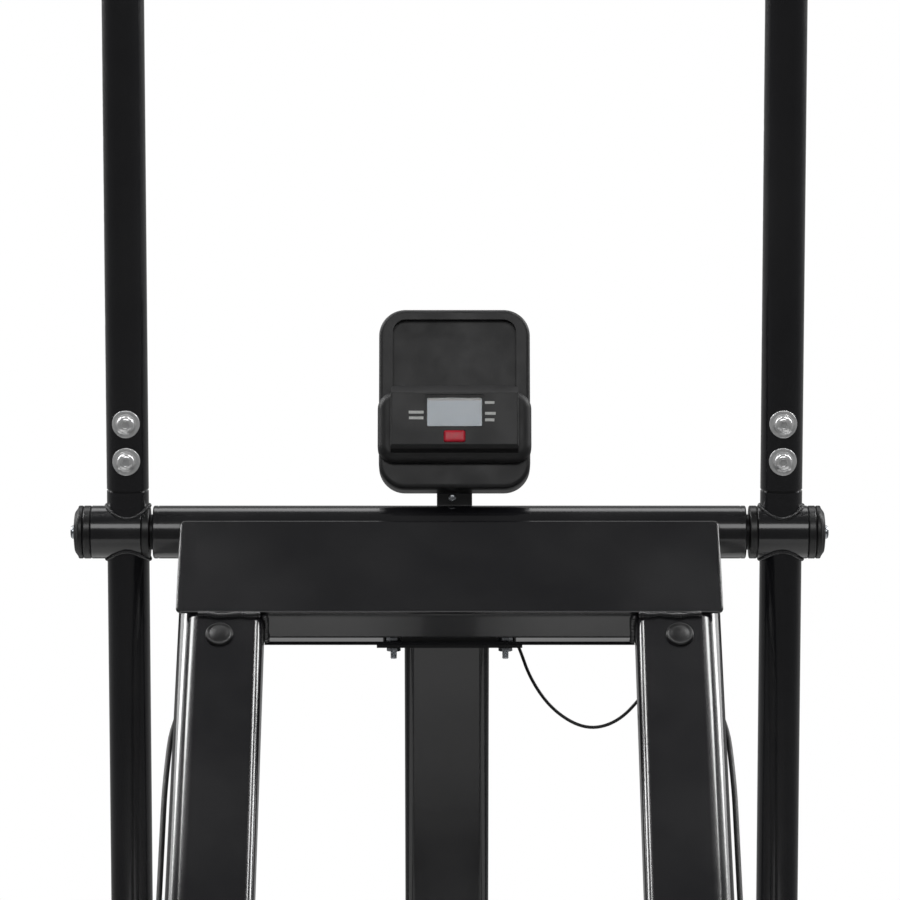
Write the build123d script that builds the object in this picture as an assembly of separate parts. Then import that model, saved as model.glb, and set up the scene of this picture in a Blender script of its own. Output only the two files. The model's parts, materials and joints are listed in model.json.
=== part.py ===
"""Vertical climber: an inclined twin-rail frame, two swing arms on a through axle, two foot
carriages that roll on the rails, a balance cable that links them, and a small console.

Units are millimetres. +Z is up, the user stands on the -Y side, +X is to the right.
Most pieces are drawn about the axle's centre and moved to their height by save().
Three tilted local frames are used, each turned about X: the rails, the rear post and the arms.
"""
from build123d import *
import math
import os

os.makedirs("parts", exist_ok=True)

# ---------------------------------------------------------------- driving dimensions
axle_height = 1000.0       # axle centre above the floor
axle_y = 288.04            # axle centre behind the middle of the footprint
rail_tilt = 40.0           # rails from vertical, bottom towards the user
post_tilt = 17.5           # rear post from vertical, bottom away from the user
arm_tilt = 8.0             # swing arms from vertical at rest, top towards the user

tube_wall = 2.0
clearance = 0.3            # between pieces that move past each other
running = 0.05             # radial clearance of a shaft in its bush

axle_tube_r = 24.0
axle_tube_half = 268.0
shaft_r = 10.0

rail_x = 203.0
rail_width = 76.0
rail_depth = 42.0
rail_corner = 9.0
rail_outer_corner = 18.0   # the front corner on each rail's outer side is much rounder
rail_start = 12.0          # the rails' coped upper ends, down from the axle
rail_front = axle_tube_r   # the rails' front faces are tangent to the axle tube

plate_width = 485.0
plate_height = 104.0
plate_gauge = 3.0
plate_corner = 5.0
plate_top = -8.5           # plate's top edge, up the rails from the axle, so it is below it

plug_r = 12.2
plug_down = 136.0          # domed plugs, down the rails from the axle

cross_tube_height = 50.0
cross_tube_depth = 38.0

flange_gauge = 3.0         # both flanges of the post joint
head_flange_top = -96.5
head_stub = (120.0, 60.0)
post_section = (76.0, 42.0, 9.0)
post_front_y = -36.0       # front edge of the post's top, from the axle
post_x = -2.5
post_bolt_x = 50.0
post_bolt_y = -47.0
post_bolt_r = 2.9
post_bolt_hole_r = 3.2

sleeve_inner = 278.0       # the arm sleeve runs from here outwards
sleeve_outer = 324.0
bush_flange = 7.0
arm_x = {"left": -291.0, "right": 300.0}
side_sign = {"left": -1.0, "right": 1.0}
arm_r = 19.0
lower_arm_length = 620.0   # axle to foot bar pivot
handle_start = 40.0
handle_straight = 560.0
handle_bend = 35.0         # towards the user
handle_bend_r = 70.0
handle_end = 150.0
joint_bolts = (67.0, 101.0)

roller_r = 30.0
roller_width = 26.0
roller_gap = 0.4           # rollers stand this far off the rails at rest
roller_drop = 700.0        # roller axle below the main axle
pin_r = 6.0
bar_width = 25.0
bar_height = 50.0

pedal_length = 290.0
pedal_inner = 150.0
pedal_thick = 6.0
pedal_rim = 14.0
pedal_lift = 36.0          # pedal's underside above the roller axle

base_section = (60.0, 50.0)
foot_height = 15.0
foot_pad_height = 9.0
foot_pad_r = 24.0
foot_stem_r = 8.0
front_base_half = 320.0
rear_base_half = 280.0
wheel_r = 30.0
wheel_width = 22.0

sheath_r = 2.5
sheath_bore = 1.3
wire_r = 0.9
sheath_x = 247.0
sheath_depth = 10.0        # behind the axle's plane, in the rail frame
sheath_end = 628.0         # lower end, down the rail
sheath_straight = 298.0    # upper end of the straight, hollow stretch
wire_start = 463.0

console_x = 4.5
console_tilt = -12.0
console_width = 137.0
console_height = 166.0
console_bottom = 38.0      # above the axle
console_y = -8.0
console_corner = 24.0
console_wall = 2.2
console_back_depth = 20.0
lead_exit_z = 70.0         # the rest are heights and depths in the console's own frame
pod_front = -34.0
pod_half = 57.5
pod_low, pod_high = 33.0, 92.0
pod_face_high = 83.0       # above this the display pod slopes back
cheek_low, cheek_high = 22.0, 88.0
rest_size = (112.0, 84.5, 12.0)
rest_depth = -3.5
window_z = 65.2
window_size = (49.0, 26.0)
button_z = 42.6
button_size = (19.0, 10.4)
button_travel = 1.5
cell_r = 5.2
cell_length = 42.0
cell_z = (105.5, 120.5)

lead_r = 1.5

# ---------------------------------------------------------------- derived places
rail_sin = math.sin(math.radians(rail_tilt))
rail_cos = math.cos(math.radians(rail_tilt))
base_top = -axle_height + foot_height + base_section[1]
pivot_y = lower_arm_length * math.sin(math.radians(arm_tilt))
pivot_z = -lower_arm_length * math.cos(math.radians(arm_tilt))
roller_z = -roller_drop
roller_y = (rail_sin * roller_z - rail_front - roller_r - roller_gap) / rail_cos
bar_span = math.hypot(pivot_y - roller_y, pivot_z - roller_z)
bar_tilt = math.degrees(math.atan2(pivot_z - roller_z, pivot_y - roller_y))
roller_along = roller_y * rail_sin + roller_z * rail_cos   # up the rail, so it is negative
rail_inner = rail_x - rail_width / 2
rail_outer = rail_x + rail_width / 2
plate_bottom = plate_top - plate_height
post_flange_top = head_flange_top - flange_gauge


# ---------------------------------------------------------------- helpers
def save(node, shape, about_axle=True):
    """Writes one node's STEP file; shapes drawn about the axle are lifted into place."""
    if about_axle:
        shape = Pos(0, axle_y, axle_height) * shape
    shape.label = node
    export_step(shape, f"parts/{node}.step")


def group(pieces):
    """Separate solids that share one node."""
    return Compound(children=list(pieces))


def on_rail(shape):
    """Rail frame: x across, -y out of the rails' front faces, z up the rails."""
    return Rot(-rail_tilt, 0, 0) * shape


def on_post(shape):
    return Rot(post_tilt, 0, 0) * shape


def on_arm(shape):
    return Rot(arm_tilt, 0, 0) * shape


def rod(radius, start, end):
    """A round bar along X from start to end."""
    return Pos(min(start, end), 0, 0) * Rot(0, 90, 0) * extrude(Circle(radius), abs(end - start))


def ring(outer, inner, start, end):
    """A round tube along X from start to end."""
    profile = Circle(outer) - Circle(inner)
    return Pos(min(start, end), 0, 0) * Rot(0, 90, 0) * extrude(profile, abs(end - start))


def box_tube(width, depth, length, corner, wall=tube_wall):
    """A rectangular tube standing on z = 0."""
    outer = RectangleRounded(width, depth, corner)
    inner = RectangleRounded(width - 2 * wall, depth - 2 * wall, corner - wall)
    return extrude(outer - inner, length)


def rim_edges(shape, radius):
    """The circular edges of a given radius at the two ends of a round piece."""
    circles = shape.edges().filter_by(GeomType.CIRCLE)
    return [edge for edge in circles if abs(edge.radius - radius) < 0.01]


def block(x0, x1, y0, y1, z0, z1):
    """A box between two corners."""
    size = (abs(x1 - x0), abs(y1 - y0), abs(z1 - z0))
    return Pos((x0 + x1) / 2, (y0 + y1) / 2, (z0 + z1) / 2) * Box(*size)


def rail_point(x, depth, down):
    """A point given in the rail frame: depth behind the axle's plane, down the rail."""
    y = depth * rail_cos - down * rail_sin
    z = -depth * rail_sin - down * rail_cos
    return Vector(x, y, z)


# ---------------------------------------------------------------- fixed frame
def make_rails():
    """Two box-section rails, coped round the axle tube and cut flat on the front base."""
    cope = rod(axle_tube_r + running, -400, 400)
    floor_side = block(-400, 400, -1500, 500, base_top - 400, base_top)
    for side, sign in side_sign.items():
        tube = extrude(rail_section(sign, 0) - rail_section(sign, tube_wall), 1500)
        centre_y = rail_depth / 2 - rail_front
        rail = on_rail(Pos(sign * rail_x, centre_y, -1500 - rail_start) * tube)
        save(f"rail_{side}", rail - cope - floor_side)


def rail_section(sign, inset):
    """A rail's outline, inset from its outer faces, with its rounder corner on the outer side."""
    outline = Rectangle(rail_width - 2 * inset, rail_depth - 2 * inset)
    for corner in outline.vertices():
        rounder = corner.X * sign > 0 and corner.Y < 0
        radius = (rail_outer_corner if rounder else rail_corner) - inset
        nearest = outline.vertices().sort_by_distance(corner.center())[0]
        outline = fillet(nearest, radius)
    return outline


def make_rail_plugs():
    """Domed plastic plugs near the top of each rail's front face."""
    plugs = []
    for sign in side_sign.values():
        skirt = extrude(Circle(plug_r), 2.0)
        crown = Pos(0, 0, 2.0) * extrude(Circle(plug_r), 2.2, taper=42)
        plug = Rot(90, 0, 0) * (skirt + crown)
        plugs.append(on_rail(Pos(sign * rail_x, -rail_front, -plug_down) * plug))
    save("rail_plugs", group(plugs))


def make_cover_plate():
    """Flat steel cover across both rails, in front of the axle tube."""
    sheet = extrude(RectangleRounded(plate_width, plate_height, plate_corner), plate_gauge)
    upright = Rot(90, 0, 0) * sheet
    centre_z = plate_top - plate_height / 2
    save("cover_plate", on_rail(Pos(0, -rail_front, centre_z) * upright))


def make_cross_tube():
    """Box tube between the rails, behind the plate's lower edge."""
    tube = box_tube(cross_tube_height, cross_tube_depth, 2 * rail_inner, 5.0)
    centre_y = cross_tube_depth / 2 - rail_front
    centre_z = plate_bottom + cross_tube_height / 2
    save("cross_tube", on_rail(Pos(-rail_inner, centre_y, centre_z) * Rot(0, 90, 0) * tube))


def make_post_head():
    """Box stub under the axle tube with the cross flange that the rear post bolts to."""
    width, depth = head_stub
    stub = Pos(0, -5, head_flange_top) * box_tube(width, depth, -head_flange_top, 6.0)
    cope = rod(axle_tube_r, -200, 200)
    cross_tube_back = cross_tube_depth - rail_front
    front = on_rail(block(-200, 200, -200, cross_tube_back, -400, 100))
    flange = block(-rail_inner, rail_inner, -64, 34, post_flange_top, head_flange_top)
    flange -= on_rail(block(-300, 300, -200, cross_tube_back + 1, -400, 100))
    save("post_head", (stub - cope - front) + (flange - post_bolt_holes()))


def make_rear_post():
    """Leaning box-section post, its top flange bolted up to the head and its foot on the base."""
    top = post_flange_top
    width, depth, corner = post_section
    tube = Pos(0, 0, -1100) * box_tube(width, depth, 1200, corner)
    post = Pos(post_x, post_centre_y(), top) * on_post(tube)
    between = block(-100, 100, -200, 500, base_top, top - flange_gauge)
    flange = block(-65, 65, -56, 30, top - flange_gauge, top)
    save("rear_post", (post & between) + flange - post_bolt_holes())


def post_centre_y():
    """Where the post's centre line meets its top flange."""
    return post_front_y + post_section[1] / 2 / math.cos(math.radians(post_tilt))


def post_bolt_holes():
    """Drills through both flanges of the post joint."""
    drill = Cylinder(post_bolt_hole_r, 60)
    drills = [Pos(sign * post_bolt_x, post_bolt_y, post_flange_top) * drill for sign in (-1, 1)]
    return Compound(children=drills)


def post_bolt_set():
    """Short bolts up through both flanges, with their threaded ends left hanging."""
    head_height, nut_height, hang = 4.0, 3.5, 10.0
    underside = post_flange_top - flange_gauge
    shank = Pos(0, 0, underside - hang) * extrude(Circle(post_bolt_r), hang + 2 * flange_gauge + 1)
    head = Pos(0, 0, head_flange_top) * extrude(RegularPolygon(5.6, 6), head_height)
    nut = Pos(0, 0, underside - nut_height) * extrude(RegularPolygon(5.4, 6), nut_height)
    bolt = shank + head + nut
    return [Pos(sign * post_bolt_x, post_bolt_y, 0) * bolt for sign in (-1, 1)]


def make_axle():
    """The fixed axle tube, the through shaft on which both arms swing, its caps and nuts."""
    tube = ring(axle_tube_r, axle_tube_r - tube_wall, -axle_tube_half, axle_tube_half)
    for sign in (-1, 1):
        tube += ring(axle_tube_r - tube_wall, shaft_r, sign * (axle_tube_half - 6), sign * axle_tube_half)
    tube = fillet(rim_edges(tube, axle_tube_r), 1.5)
    for sign in (-1, 1):
        groove = (sign * (axle_tube_half - 5.2), sign * (axle_tube_half - 4.2))
        tube -= ring(axle_tube_r + 1, axle_tube_r - 0.6, *groove)
    save("axle_tube", tube)

    shaft_end = sleeve_outer + bush_flange + 1.0
    shaft = rod(shaft_r, -shaft_end, shaft_end)
    for sign in (-1, 1):
        shaft += ring(16.0, shaft_r, sign * axle_tube_half, sign * (sleeve_inner - bush_flange - clearance))
    save("axle_shaft", shaft)

    cap_r, cap_disc, cap_dome, cap_bolt_r = axle_tube_r, 4.2, 4.6, 3.0
    cap_height = cap_disc + cap_dome
    caps = []
    nuts = []
    for sign in (-1, 1):
        base = sleeve_outer + bush_flange + clearance
        disc = extrude(Circle(cap_r), cap_disc)
        dome = Pos(0, 0, cap_disc) * extrude(Circle(cap_r - 1.5), cap_dome, taper=52)
        socket = extrude(Circle(shaft_r), shaft_end - base)
        hole = extrude(Circle(cap_bolt_r + 0.2), 20)
        cap = Rot(0, sign * 90, 0) * (disc + dome - socket - hole)
        caps.append(Pos(sign * base, 0, 0) * cap)
        head = extrude(Circle(6.0), 1.6) + Pos(0, 0, 1.6) * extrude(Circle(5.0), 1.4, taper=30)
        stem = Pos(0, 0, shaft_end - base - cap_height) * extrude(Circle(cap_bolt_r), cap_height)
        nut = Rot(0, sign * 90, 0) * (head + stem)
        nuts.append(Pos(sign * (base + cap_height), 0, 0) * nut)
    save("axle_caps", group(caps))
    save("frame_bolts", group(nuts + post_bolt_set()))


def make_base():
    """Front and rear base tubes, the floor beam, end caps, levelling feet."""
    depth, height = base_section
    rail_axis = rail_point(0, rail_depth / 2 - rail_front, 0)
    front_y = rail_axis.Y + (base_top - rail_axis.Z) * rail_sin / rail_cos
    rear_y = post_centre_y() + (post_flange_top - base_top) * math.tan(math.radians(post_tilt))
    rows = {"front": (front_y, front_base_half), "rear": (rear_y, rear_base_half)}
    forks = make_wheels(rear_y)
    caps = []
    feet = []
    for name, (row_y, half) in rows.items():
        tube = Rot(0, 90, 0) * box_tube(height, depth, 2 * half, 6.0)
        tube = Pos(-half, row_y, base_top - height / 2) * tube
        if name == "rear":
            for fork in forks:
                tube += fork
        save(f"{name}_base", tube)
        for sign in (-1, 1):
            cap = Rot(0, sign * 90, 0) * extrude(RectangleRounded(height, depth, 6.0), 4)
            stub = Rot(0, -sign * 90, 0) * extrude(RectangleRounded(height - 5, depth - 5, 4.0), 14)
            caps.append(Pos(sign * half, row_y, base_top - height / 2) * (cap + stub))
            stem = extrude(Circle(foot_stem_r), foot_height)
            pad = extrude(Circle(foot_pad_r), foot_pad_height)
            feet.append(Pos(sign * (half - 60), row_y, -axle_height) * (stem + pad))
    save("base_end_caps", group(caps))
    save("levelling_feet", group(feet))

    beam = Rot(-90, 0, 0) * box_tube(60, 40, rear_y - front_y - depth, 5.0)
    save("floor_beam", Pos(0, front_y + depth / 2, base_top - height / 2) * beam)


def make_wheels(rear_y):
    """Transport wheels and their bolts; returns the fork cheeks, which are welded to the rear base."""
    bolt_r, bolt_head_r, cheek_gauge = 4.0, 6.5, 3.0
    base_back = rear_y + base_section[0] / 2
    wheel_y = base_back + wheel_r + 4
    wheel_z = -axle_height + wheel_r + 6
    half = wheel_width / 2 + 1.5
    forks = []
    bolts = []
    for side, sign in side_sign.items():
        centre = Pos(sign * (rear_base_half - 50), wheel_y, wheel_z)
        bolt = rod(bolt_r, -half - cheek_gauge, half + cheek_gauge)
        for end in (-1, 1):
            plate = block(end * half, end * (half + cheek_gauge), base_back - wheel_y, 12, -12, 14)
            forks.append(centre * (plate - rod(bolt_r, -40, 40)))
            bolt += rod(bolt_head_r, end * (half + cheek_gauge), end * (half + cheek_gauge + 4))
        bolts.append(centre * bolt)
        tyre = ring(wheel_r, bolt_r + running, -wheel_width / 2, wheel_width / 2)
        groove = ring(wheel_r, wheel_r - 2, -3, 3)
        save(f"wheel_{side}", centre * (tyre - groove))
    print("wheel centres", rear_base_half - 50, round(wheel_y + axle_y, 2), round(wheel_z + axle_height, 2))
    save("wheel_bolts", group(bolts))
    return forks


# ---------------------------------------------------------------- balance cable and sensor lead
def corner_radii(points):
    """Largest tangent arc that each corner's two runs leave room for."""
    radii = []
    for before, here, after in zip(points, points[1:], points[2:]):
        run_in = here - before
        run_out = after - here
        half_turn = math.radians(run_in.get_angle(run_out)) / 2
        radii.append(0.45 * min(run_in.length, run_out.length) / math.tan(half_turn))
    return radii


def cord_tube(name, points, radius):
    """A round cord along straight runs joined by tangent arcs."""
    radii = corner_radii(points)
    path = FilletPolyline(*points, radius=radii)
    start_plane = Plane(origin=points[0], z_dir=points[1] - points[0])
    tube = sweep(start_plane * Circle(radius), path=path)
    expected = math.pi * radius ** 2 * path.length
    print(name, "radii", [round(r) for r in radii])
    print(name, "length", round(path.length, 1), "volume / expected", round(tube.volume / expected, 4))
    return tube


def make_balance_sheath():
    """Outer sheath: up one rail's side, across behind the cover plate, down the other."""
    right = [
        Vector(55, 31, -61),
        Vector(109, 20, -70),
        Vector(160, -4, -86),
        Vector(200, -38, -108),
        rail_point(226, 36, 148),
        rail_point(238, 28, 178),
        rail_point(244.5, 20, 212),
        rail_point(sheath_x - 1, 14, 248),
        rail_point(sheath_x, sheath_depth, 285),
        rail_point(sheath_x, sheath_depth, sheath_end),
    ]
    left = [Vector(-p.X, p.Y, p.Z) for p in reversed(right)]
    sheath = cord_tube("balance_sheath", left + [Vector(0, 34, -58)] + right, sheath_r)
    for sign in side_sign.values():
        bore = extrude(Circle(sheath_bore), sheath_end - sheath_straight + 1)
        sheath -= on_rail(Pos(sign * sheath_x, sheath_depth, -sheath_end - 1) * bore)
    save("balance_sheath", sheath)


def make_sheath_clips():
    """Welded tabs that hold the sheath beside each rail, the lower pair with stop ferrules."""
    stop = 1.5                 # floor of the stop ferrule, bored only for the wire
    clip_down = 470.0
    clips = []
    for sign in side_sign.values():
        for down, length, radius, floor in (
                (clip_down, 10, sheath_r + 1.5, -1), (sheath_end + stop, 20, sheath_r + 2, stop)):
            web = block(0, sign * (rail_outer - sheath_x), -3, 3, 0, length)
            clip = extrude(Circle(radius), length) + web
            clip -= Pos(0, 0, floor) * extrude(Circle(sheath_r), length + 2)
            clip -= Cylinder(sheath_bore, 3 * length)
            clips.append(on_rail(Pos(sign * sheath_x, sheath_depth, -down) * clip))
    save("sheath_clips", group(clips))


def make_cable_drives():
    """Inner wires that slide in the sheath, each with a slotted lug round a roller axle."""
    axle_depth = -(rail_front + roller_r + roller_gap)
    slot_up, slot_down = 11.0 + pin_r, 1.0 + pin_r
    slot_out, slot_in = 2.8 + pin_r, 0.3 + pin_r
    margin = 6.0               # metal left round the slot
    seat = 4.0                 # wire sunk into its socket
    for side, sign in side_sign.items():
        socket_down = -roller_along - slot_up - margin
        wire = extrude(Circle(wire_r), socket_down - wire_start + seat)
        wire = Pos(0, sheath_depth, -socket_down - seat) * wire
        plate = block(-1.5, 1.5, axle_depth - slot_out - margin, sheath_depth + 5,
                      roller_along - slot_down - margin, roller_along + slot_up + margin)
        slot = block(-5, 5, axle_depth - slot_out, axle_depth + slot_in,
                     roller_along - slot_down, roller_along + slot_up)
        socket = Pos(0, sheath_depth, -socket_down - 22) * extrude(Circle(3.2), 22)
        grip = Pos(0, sheath_depth, -socket_down - seat) * extrude(Circle(wire_r), seat + 2)
        lug = plate - slot + socket - grip
        save(f"cable_drive_{side}", on_rail(Pos(sign * sheath_x, 0, 0) * group([wire, lug])))


def make_stride_sensor():
    """Hall sensor saddled on the axle tube, its magnet on the right arm, and their lead."""
    body = block(248, 264, 14, 36, -13, 13) - rod(axle_tube_r, 200, 300)
    gland = Pos(0, 31, 0) * rod(2 * lead_r, 240, 248)
    save("stride_sensor", body + gland)
    magnet = Pos(284, axle_tube_r - 1.5, 0) * Rot(-90, 0, 0) * extrude(Circle(5), 7)
    save("stride_magnet", magnet - rod(axle_tube_r, 270, 300))

    route = [
        console_point(0, console_back_depth + 8, lead_exit_z),
        console_point(0, console_back_depth + 26, lead_exit_z),
        Vector(4.8, 59, 84),
        Vector(6, 59.5, 60),
        Vector(9, 57.5, 34),
        Vector(14, 55, 6),
        Vector(22, 52, -22),
        Vector(34, 49, -49),
        Vector(49, 46.5, -76),
        Vector(63, 45, -104),
        Vector(74, 44, -136),
        Vector(95, 43, -165),
        Vector(125, 42, -182),
        Vector(154, 40, -175),
        Vector(178, 38, -149),
        Vector(197, 37, -119),
        Vector(209, 36, -88),
        Vector(214, 35, -60),
        Vector(216, 34, -34),
        Vector(220, 32, -12),
        Vector(229, 31, 0),
        Vector(240, 31, 0),
    ]
    save("sensor_lead", cord_tube("sensor_lead", route, lead_r))


# ---------------------------------------------------------------- console
def in_console(shape):
    """Console frame: x across, -y out of its face, z up its back, from its bottom edge."""
    return Pos(console_x, console_y, console_bottom) * Rot(console_tilt, 0, 0) * shape


def console_point(x, depth, up):
    turn = math.radians(console_tilt)
    y = depth * math.cos(turn) - up * math.sin(turn)
    z = depth * math.sin(turn) + up * math.cos(turn)
    return Vector(console_x + x, console_y + y, console_bottom + z)


def slab(width, height, corner, y0, y1, low):
    """A rounded-corner slab facing the user, its lower edge at low."""
    sheet = extrude(RectangleRounded(width, height, corner), y1 - y0)
    return Pos(0, y1, low + height / 2) * Rot(90, 0, 0) * sheet


def soften(shape, radius):
    """Rounds the edges of the face nearest the user."""
    return fillet(shape.faces().sort_by(Axis.Y)[0].edges(), radius)


def make_console():
    """Two shells, display, board, cells, cover, bracket and the one button."""
    back = slab(console_width, console_height, console_corner, 0, console_back_depth, 0)
    hollow = slab(console_width - 2 * console_wall, console_height - 2 * console_wall,
                  console_corner - console_wall, 0, console_back_depth - console_wall, console_wall)
    door_hole = slab(58, 34, 3, 0, 40, 96)
    gland = Pos(0, console_back_depth + 8, lead_exit_z) * Rot(90, 0, 0) * extrude(Circle(3.4), 9)
    back = fillet(back.faces().sort_by(Axis.Y)[-1].edges(), 5.0)
    save("console_back", in_console(back - hollow - door_hole + gland))

    front = soften(slab(console_width, console_height, console_corner, -10, 0, 0), 4.0)
    front -= slab(*rest_size, -30, rest_depth, pod_high - 20)
    cheeks = slab(console_width + 2, cheek_high - cheek_low, 16, -22, -2, cheek_low)
    front += soften(cheeks, 9.0)
    pod = slab(2 * pod_half, pod_high - pod_low + 8, 5, pod_front, -2, pod_low - 8)
    front += soften(pod & undercut_profile(), 1.6)
    front -= block(-pod_half + console_wall, pod_half - console_wall, pod_front + console_wall, 20,
                   pod_low + 2.8, pod_face_high - 2.5)
    front -= block(-50, 50, -8, 20, 14, pod_low + 9)
    width, height = window_size
    window_low = window_z - height / 2
    front -= slab(width + 0.4, height + 0.4, 1.2, -60, -20, window_low - 0.2)
    front -= slab(width + 5, height + 5, 2.0, -60, pod_front + 1.0, window_low - 2)
    key_width, key_height = button_size
    key_low = button_z - key_height / 2
    front -= slab(key_width + 0.8, key_height + 0.8, 1.5, -60, -20, key_low - 0.4)
    save("console_front", in_console(front))

    key_back = pod_front + 4
    window = slab(width, height, 1.0, pod_front + 1.0, pod_front + 2.2, window_low)
    save("display_window", in_console(window))
    module = slab(56, 28, 1.5, pod_front + 2.4, pod_front + 7.4, window_z - 14)
    save("display_module", in_console(module))
    board = slab(104, 40, 2, -23, -21.4, pod_low + 6)
    switch = slab(6, 6, 0.6, key_back + button_travel + clearance, -23, button_z - 3)
    save("circuit_board", in_console(board + switch))

    cells = []
    for z in cell_z:
        can = extrude(Circle(cell_r), cell_length)
        nub = Pos(0, 0, cell_length) * extrude(Circle(1.9), 2)
        cells.append(in_console(Pos(-22, 9.5, z) * Rot(0, 90, 0) * (can + nub)))
    save("battery_cells", group(cells))
    door = slab(57.4, 33.4, 2.8, console_back_depth - 2, console_back_depth, 96.3)
    door += slab(16, 3, 1, console_back_depth, console_back_depth + 1.2, 120)
    save("battery_door", in_console(door))

    screws = []
    for x, z in ((-52, 22), (52, 22), (-52, 141), (52, 141)):
        head = Pos(x, console_back_depth + 1.4, z) * Rot(90, 0, 0) * extrude(Circle(2.8), 1.4)
        screws.append(in_console(head - Pos(x, console_back_depth + 1.0, z) * Box(0.8, 2, 3.6)))
    for z in (28, 48):
        head = Pos(0, console_back_depth + 5.6, z) * Rot(90, 0, 0) * extrude(Circle(4.0), 2.6)
        screws.append(in_console(head))
    save("console_screws", group(screws))

    button = slab(key_width, key_height, 1.4, pod_front - 1.6, key_back, key_low)
    flange = slab(key_width + 4, key_height + 1.6, 1.4, pod_front + console_wall + clearance,
                  key_back, key_low - 0.8)
    save("mode_button", in_console(button + flange))

    strap = slab(32, 54, 3, console_back_depth, console_back_depth + 3, 2)
    foot_top = console_point(0, console_back_depth + 3, 4)
    foot = block(console_x - 16, console_x + 16, foot_top.Y - 2, foot_top.Y + 1, axle_tube_r - 4, foot_top.Z)
    save("console_bracket", in_console(strap) + foot - rod(axle_tube_r, -100, 100))


def undercut_profile():
    """Side profile of the display pod: flat face, sloped underside that runs back to the shell."""
    outline = Polyline(
        (20, pod_high), (pod_front + 12, pod_high), (pod_front, pod_face_high), (pod_front, pod_low + 2),
        (pod_front + 3, pod_low - 1), (-9, pod_low - 6), (20, pod_low - 6), close=True)
    side = make_face(Plane.YZ * outline)
    return Pos(-100, 0, 0) * extrude(side, 200)


# ---------------------------------------------------------------- swing arms
def make_arm(side):
    """Sleeve, stub and lower tube welded up, with its bushes, handle tube, grip and bolts."""
    sign = side_sign[side]
    x = arm_x[side]
    inner_r = arm_r - tube_wall
    bush_r = axle_tube_r - 3.5
    fork_top = lower_arm_length - 48
    fork_half = 20.0
    fork_gauge = 5.0
    fork_r = 18.0
    bolt_r = 4.0
    hole = Rot(90, 0, 0) * Cylinder(bolt_r + 0.1, 80)

    lower = Pos(0, 0, -fork_top) * extrude(Circle(arm_r) - Circle(inner_r), fork_top - 10)
    stub = Pos(0, 0, 12) * extrude(Circle(arm_r) - Circle(inner_r - 2), handle_start - 2 - 12)
    spigot = Pos(0, 0, handle_start - 2) * extrude(Circle(inner_r - 0.1) - Circle(inner_r - 2), 97)
    neck = stub + spigot
    for z in joint_bolts:
        neck -= Pos(0, 0, z) * hole
    fork_outer = fork_half + fork_gauge
    limb = lower + neck + block(-fork_outer, fork_outer, -20, 20, -fork_top - 6, -fork_top)
    for cheek in (-1, 1):
        ear = block(cheek * fork_half, cheek * fork_outer, -fork_r, fork_r,
                    -lower_arm_length, -fork_top - 6)
        tip = Pos(0, 0, -lower_arm_length) * rod(fork_r, cheek * fork_half, cheek * fork_outer)
        limb += ear + tip - Pos(0, 0, -lower_arm_length) * rod(pin_r, -40, 40)
    limb = Pos(x, 0, 0) * on_arm(limb)
    sleeve = ring(axle_tube_r, bush_r, sign * sleeve_inner, sign * sleeve_outer)
    sleeve = chamfer(rim_edges(sleeve, axle_tube_r), 0.8)
    limb -= rod(axle_tube_r - 0.01, sign * (sleeve_inner - 20), sign * (sleeve_outer + 20))
    save(f"swing_arm_{side}", limb + sleeve)

    bushes = []
    for end, away in ((sleeve_inner, -1), (sleeve_outer, 1)):
        flange = ring(axle_tube_r, shaft_r + running, sign * end, sign * (end + away * bush_flange))
        flange = fillet(rim_edges(flange, axle_tube_r), 1.2)
        plug = ring(bush_r, shaft_r + running, sign * end, sign * (end - away * 18))
        bushes.append(flange + plug)
    save(f"arm_bushes_{side}", group(bushes))

    bend = math.radians(handle_bend)
    corner = handle_straight + handle_bend_r * math.tan(bend / 2)
    reach = handle_end + handle_bend_r * math.tan(bend / 2)
    end_point = (0, -reach * math.sin(bend), corner + reach * math.cos(bend))
    path = FilletPolyline((0, 0, handle_start), (0, 0, corner), end_point, radius=handle_bend_r)
    section = Pos(0, 0, handle_start) * (Circle(arm_r) - Circle(inner_r))
    tube = sweep(section, path=path)
    for z in joint_bolts:
        tube -= Pos(0, 0, z) * hole
    save(f"handle_tube_{side}", Pos(x, 0, 0) * on_arm(tube))

    tip = Pos(*end_point) * Rot(handle_bend, 0, 0)
    foam = Pos(0, 0, -132) * extrude(Circle(arm_r + 3.5) - Circle(arm_r), 130)
    save(f"handle_grip_{side}", Pos(x, 0, 0) * on_arm(tip * foam))
    cap = extrude(Circle(arm_r + 3), 3) + Pos(0, 0, 3) * extrude(Circle(arm_r + 3), 4, taper=35)
    plug = Pos(0, 0, -16) * extrude(Circle(inner_r), 16)
    save(f"handle_cap_{side}", Pos(x, 0, 0) * on_arm(tip * (cap + plug)))

    washer_gauge = 2.1
    fittings = []
    for z in joint_bolts:
        for face in (-1, 1):
            disc = Rot(face * -90, 0, 0) * extrude(Circle(12.5), 30)
            wrap = Pos(0, 0, -20) * extrude(Circle(arm_r + washer_gauge) - Circle(arm_r), 40)
            fittings.append(Pos(0, 0, z) * ((wrap & disc) - hole))
        shank = Rot(90, 0, 0) * Cylinder(bolt_r, 2 * (arm_r + 4))
        head = Pos(0, -arm_r - 1.6, 0) * Rot(90, 0, 0) * (
            extrude(Circle(7.8), 2.4) + Pos(0, 0, 2.4) * extrude(Circle(7.8), 2.6, taper=45))
        socket = Pos(0, -arm_r - 3.2, 0) * Rot(90, 0, 0) * extrude(RegularPolygon(2.9, 6), 6)
        nut = Pos(0, arm_r + washer_gauge, 0) * Rot(-90, 0, 0) * (
            extrude(RegularPolygon(7.4, 6), 5) + Pos(0, 0, 5) * extrude(Circle(6.0), 3, taper=30))
        fittings.append(Pos(0, 0, z) * (shank + head + nut - socket))
    save(f"handle_bolts_{side}", Pos(x, 0, 0) * on_arm(group(fittings)))

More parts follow.
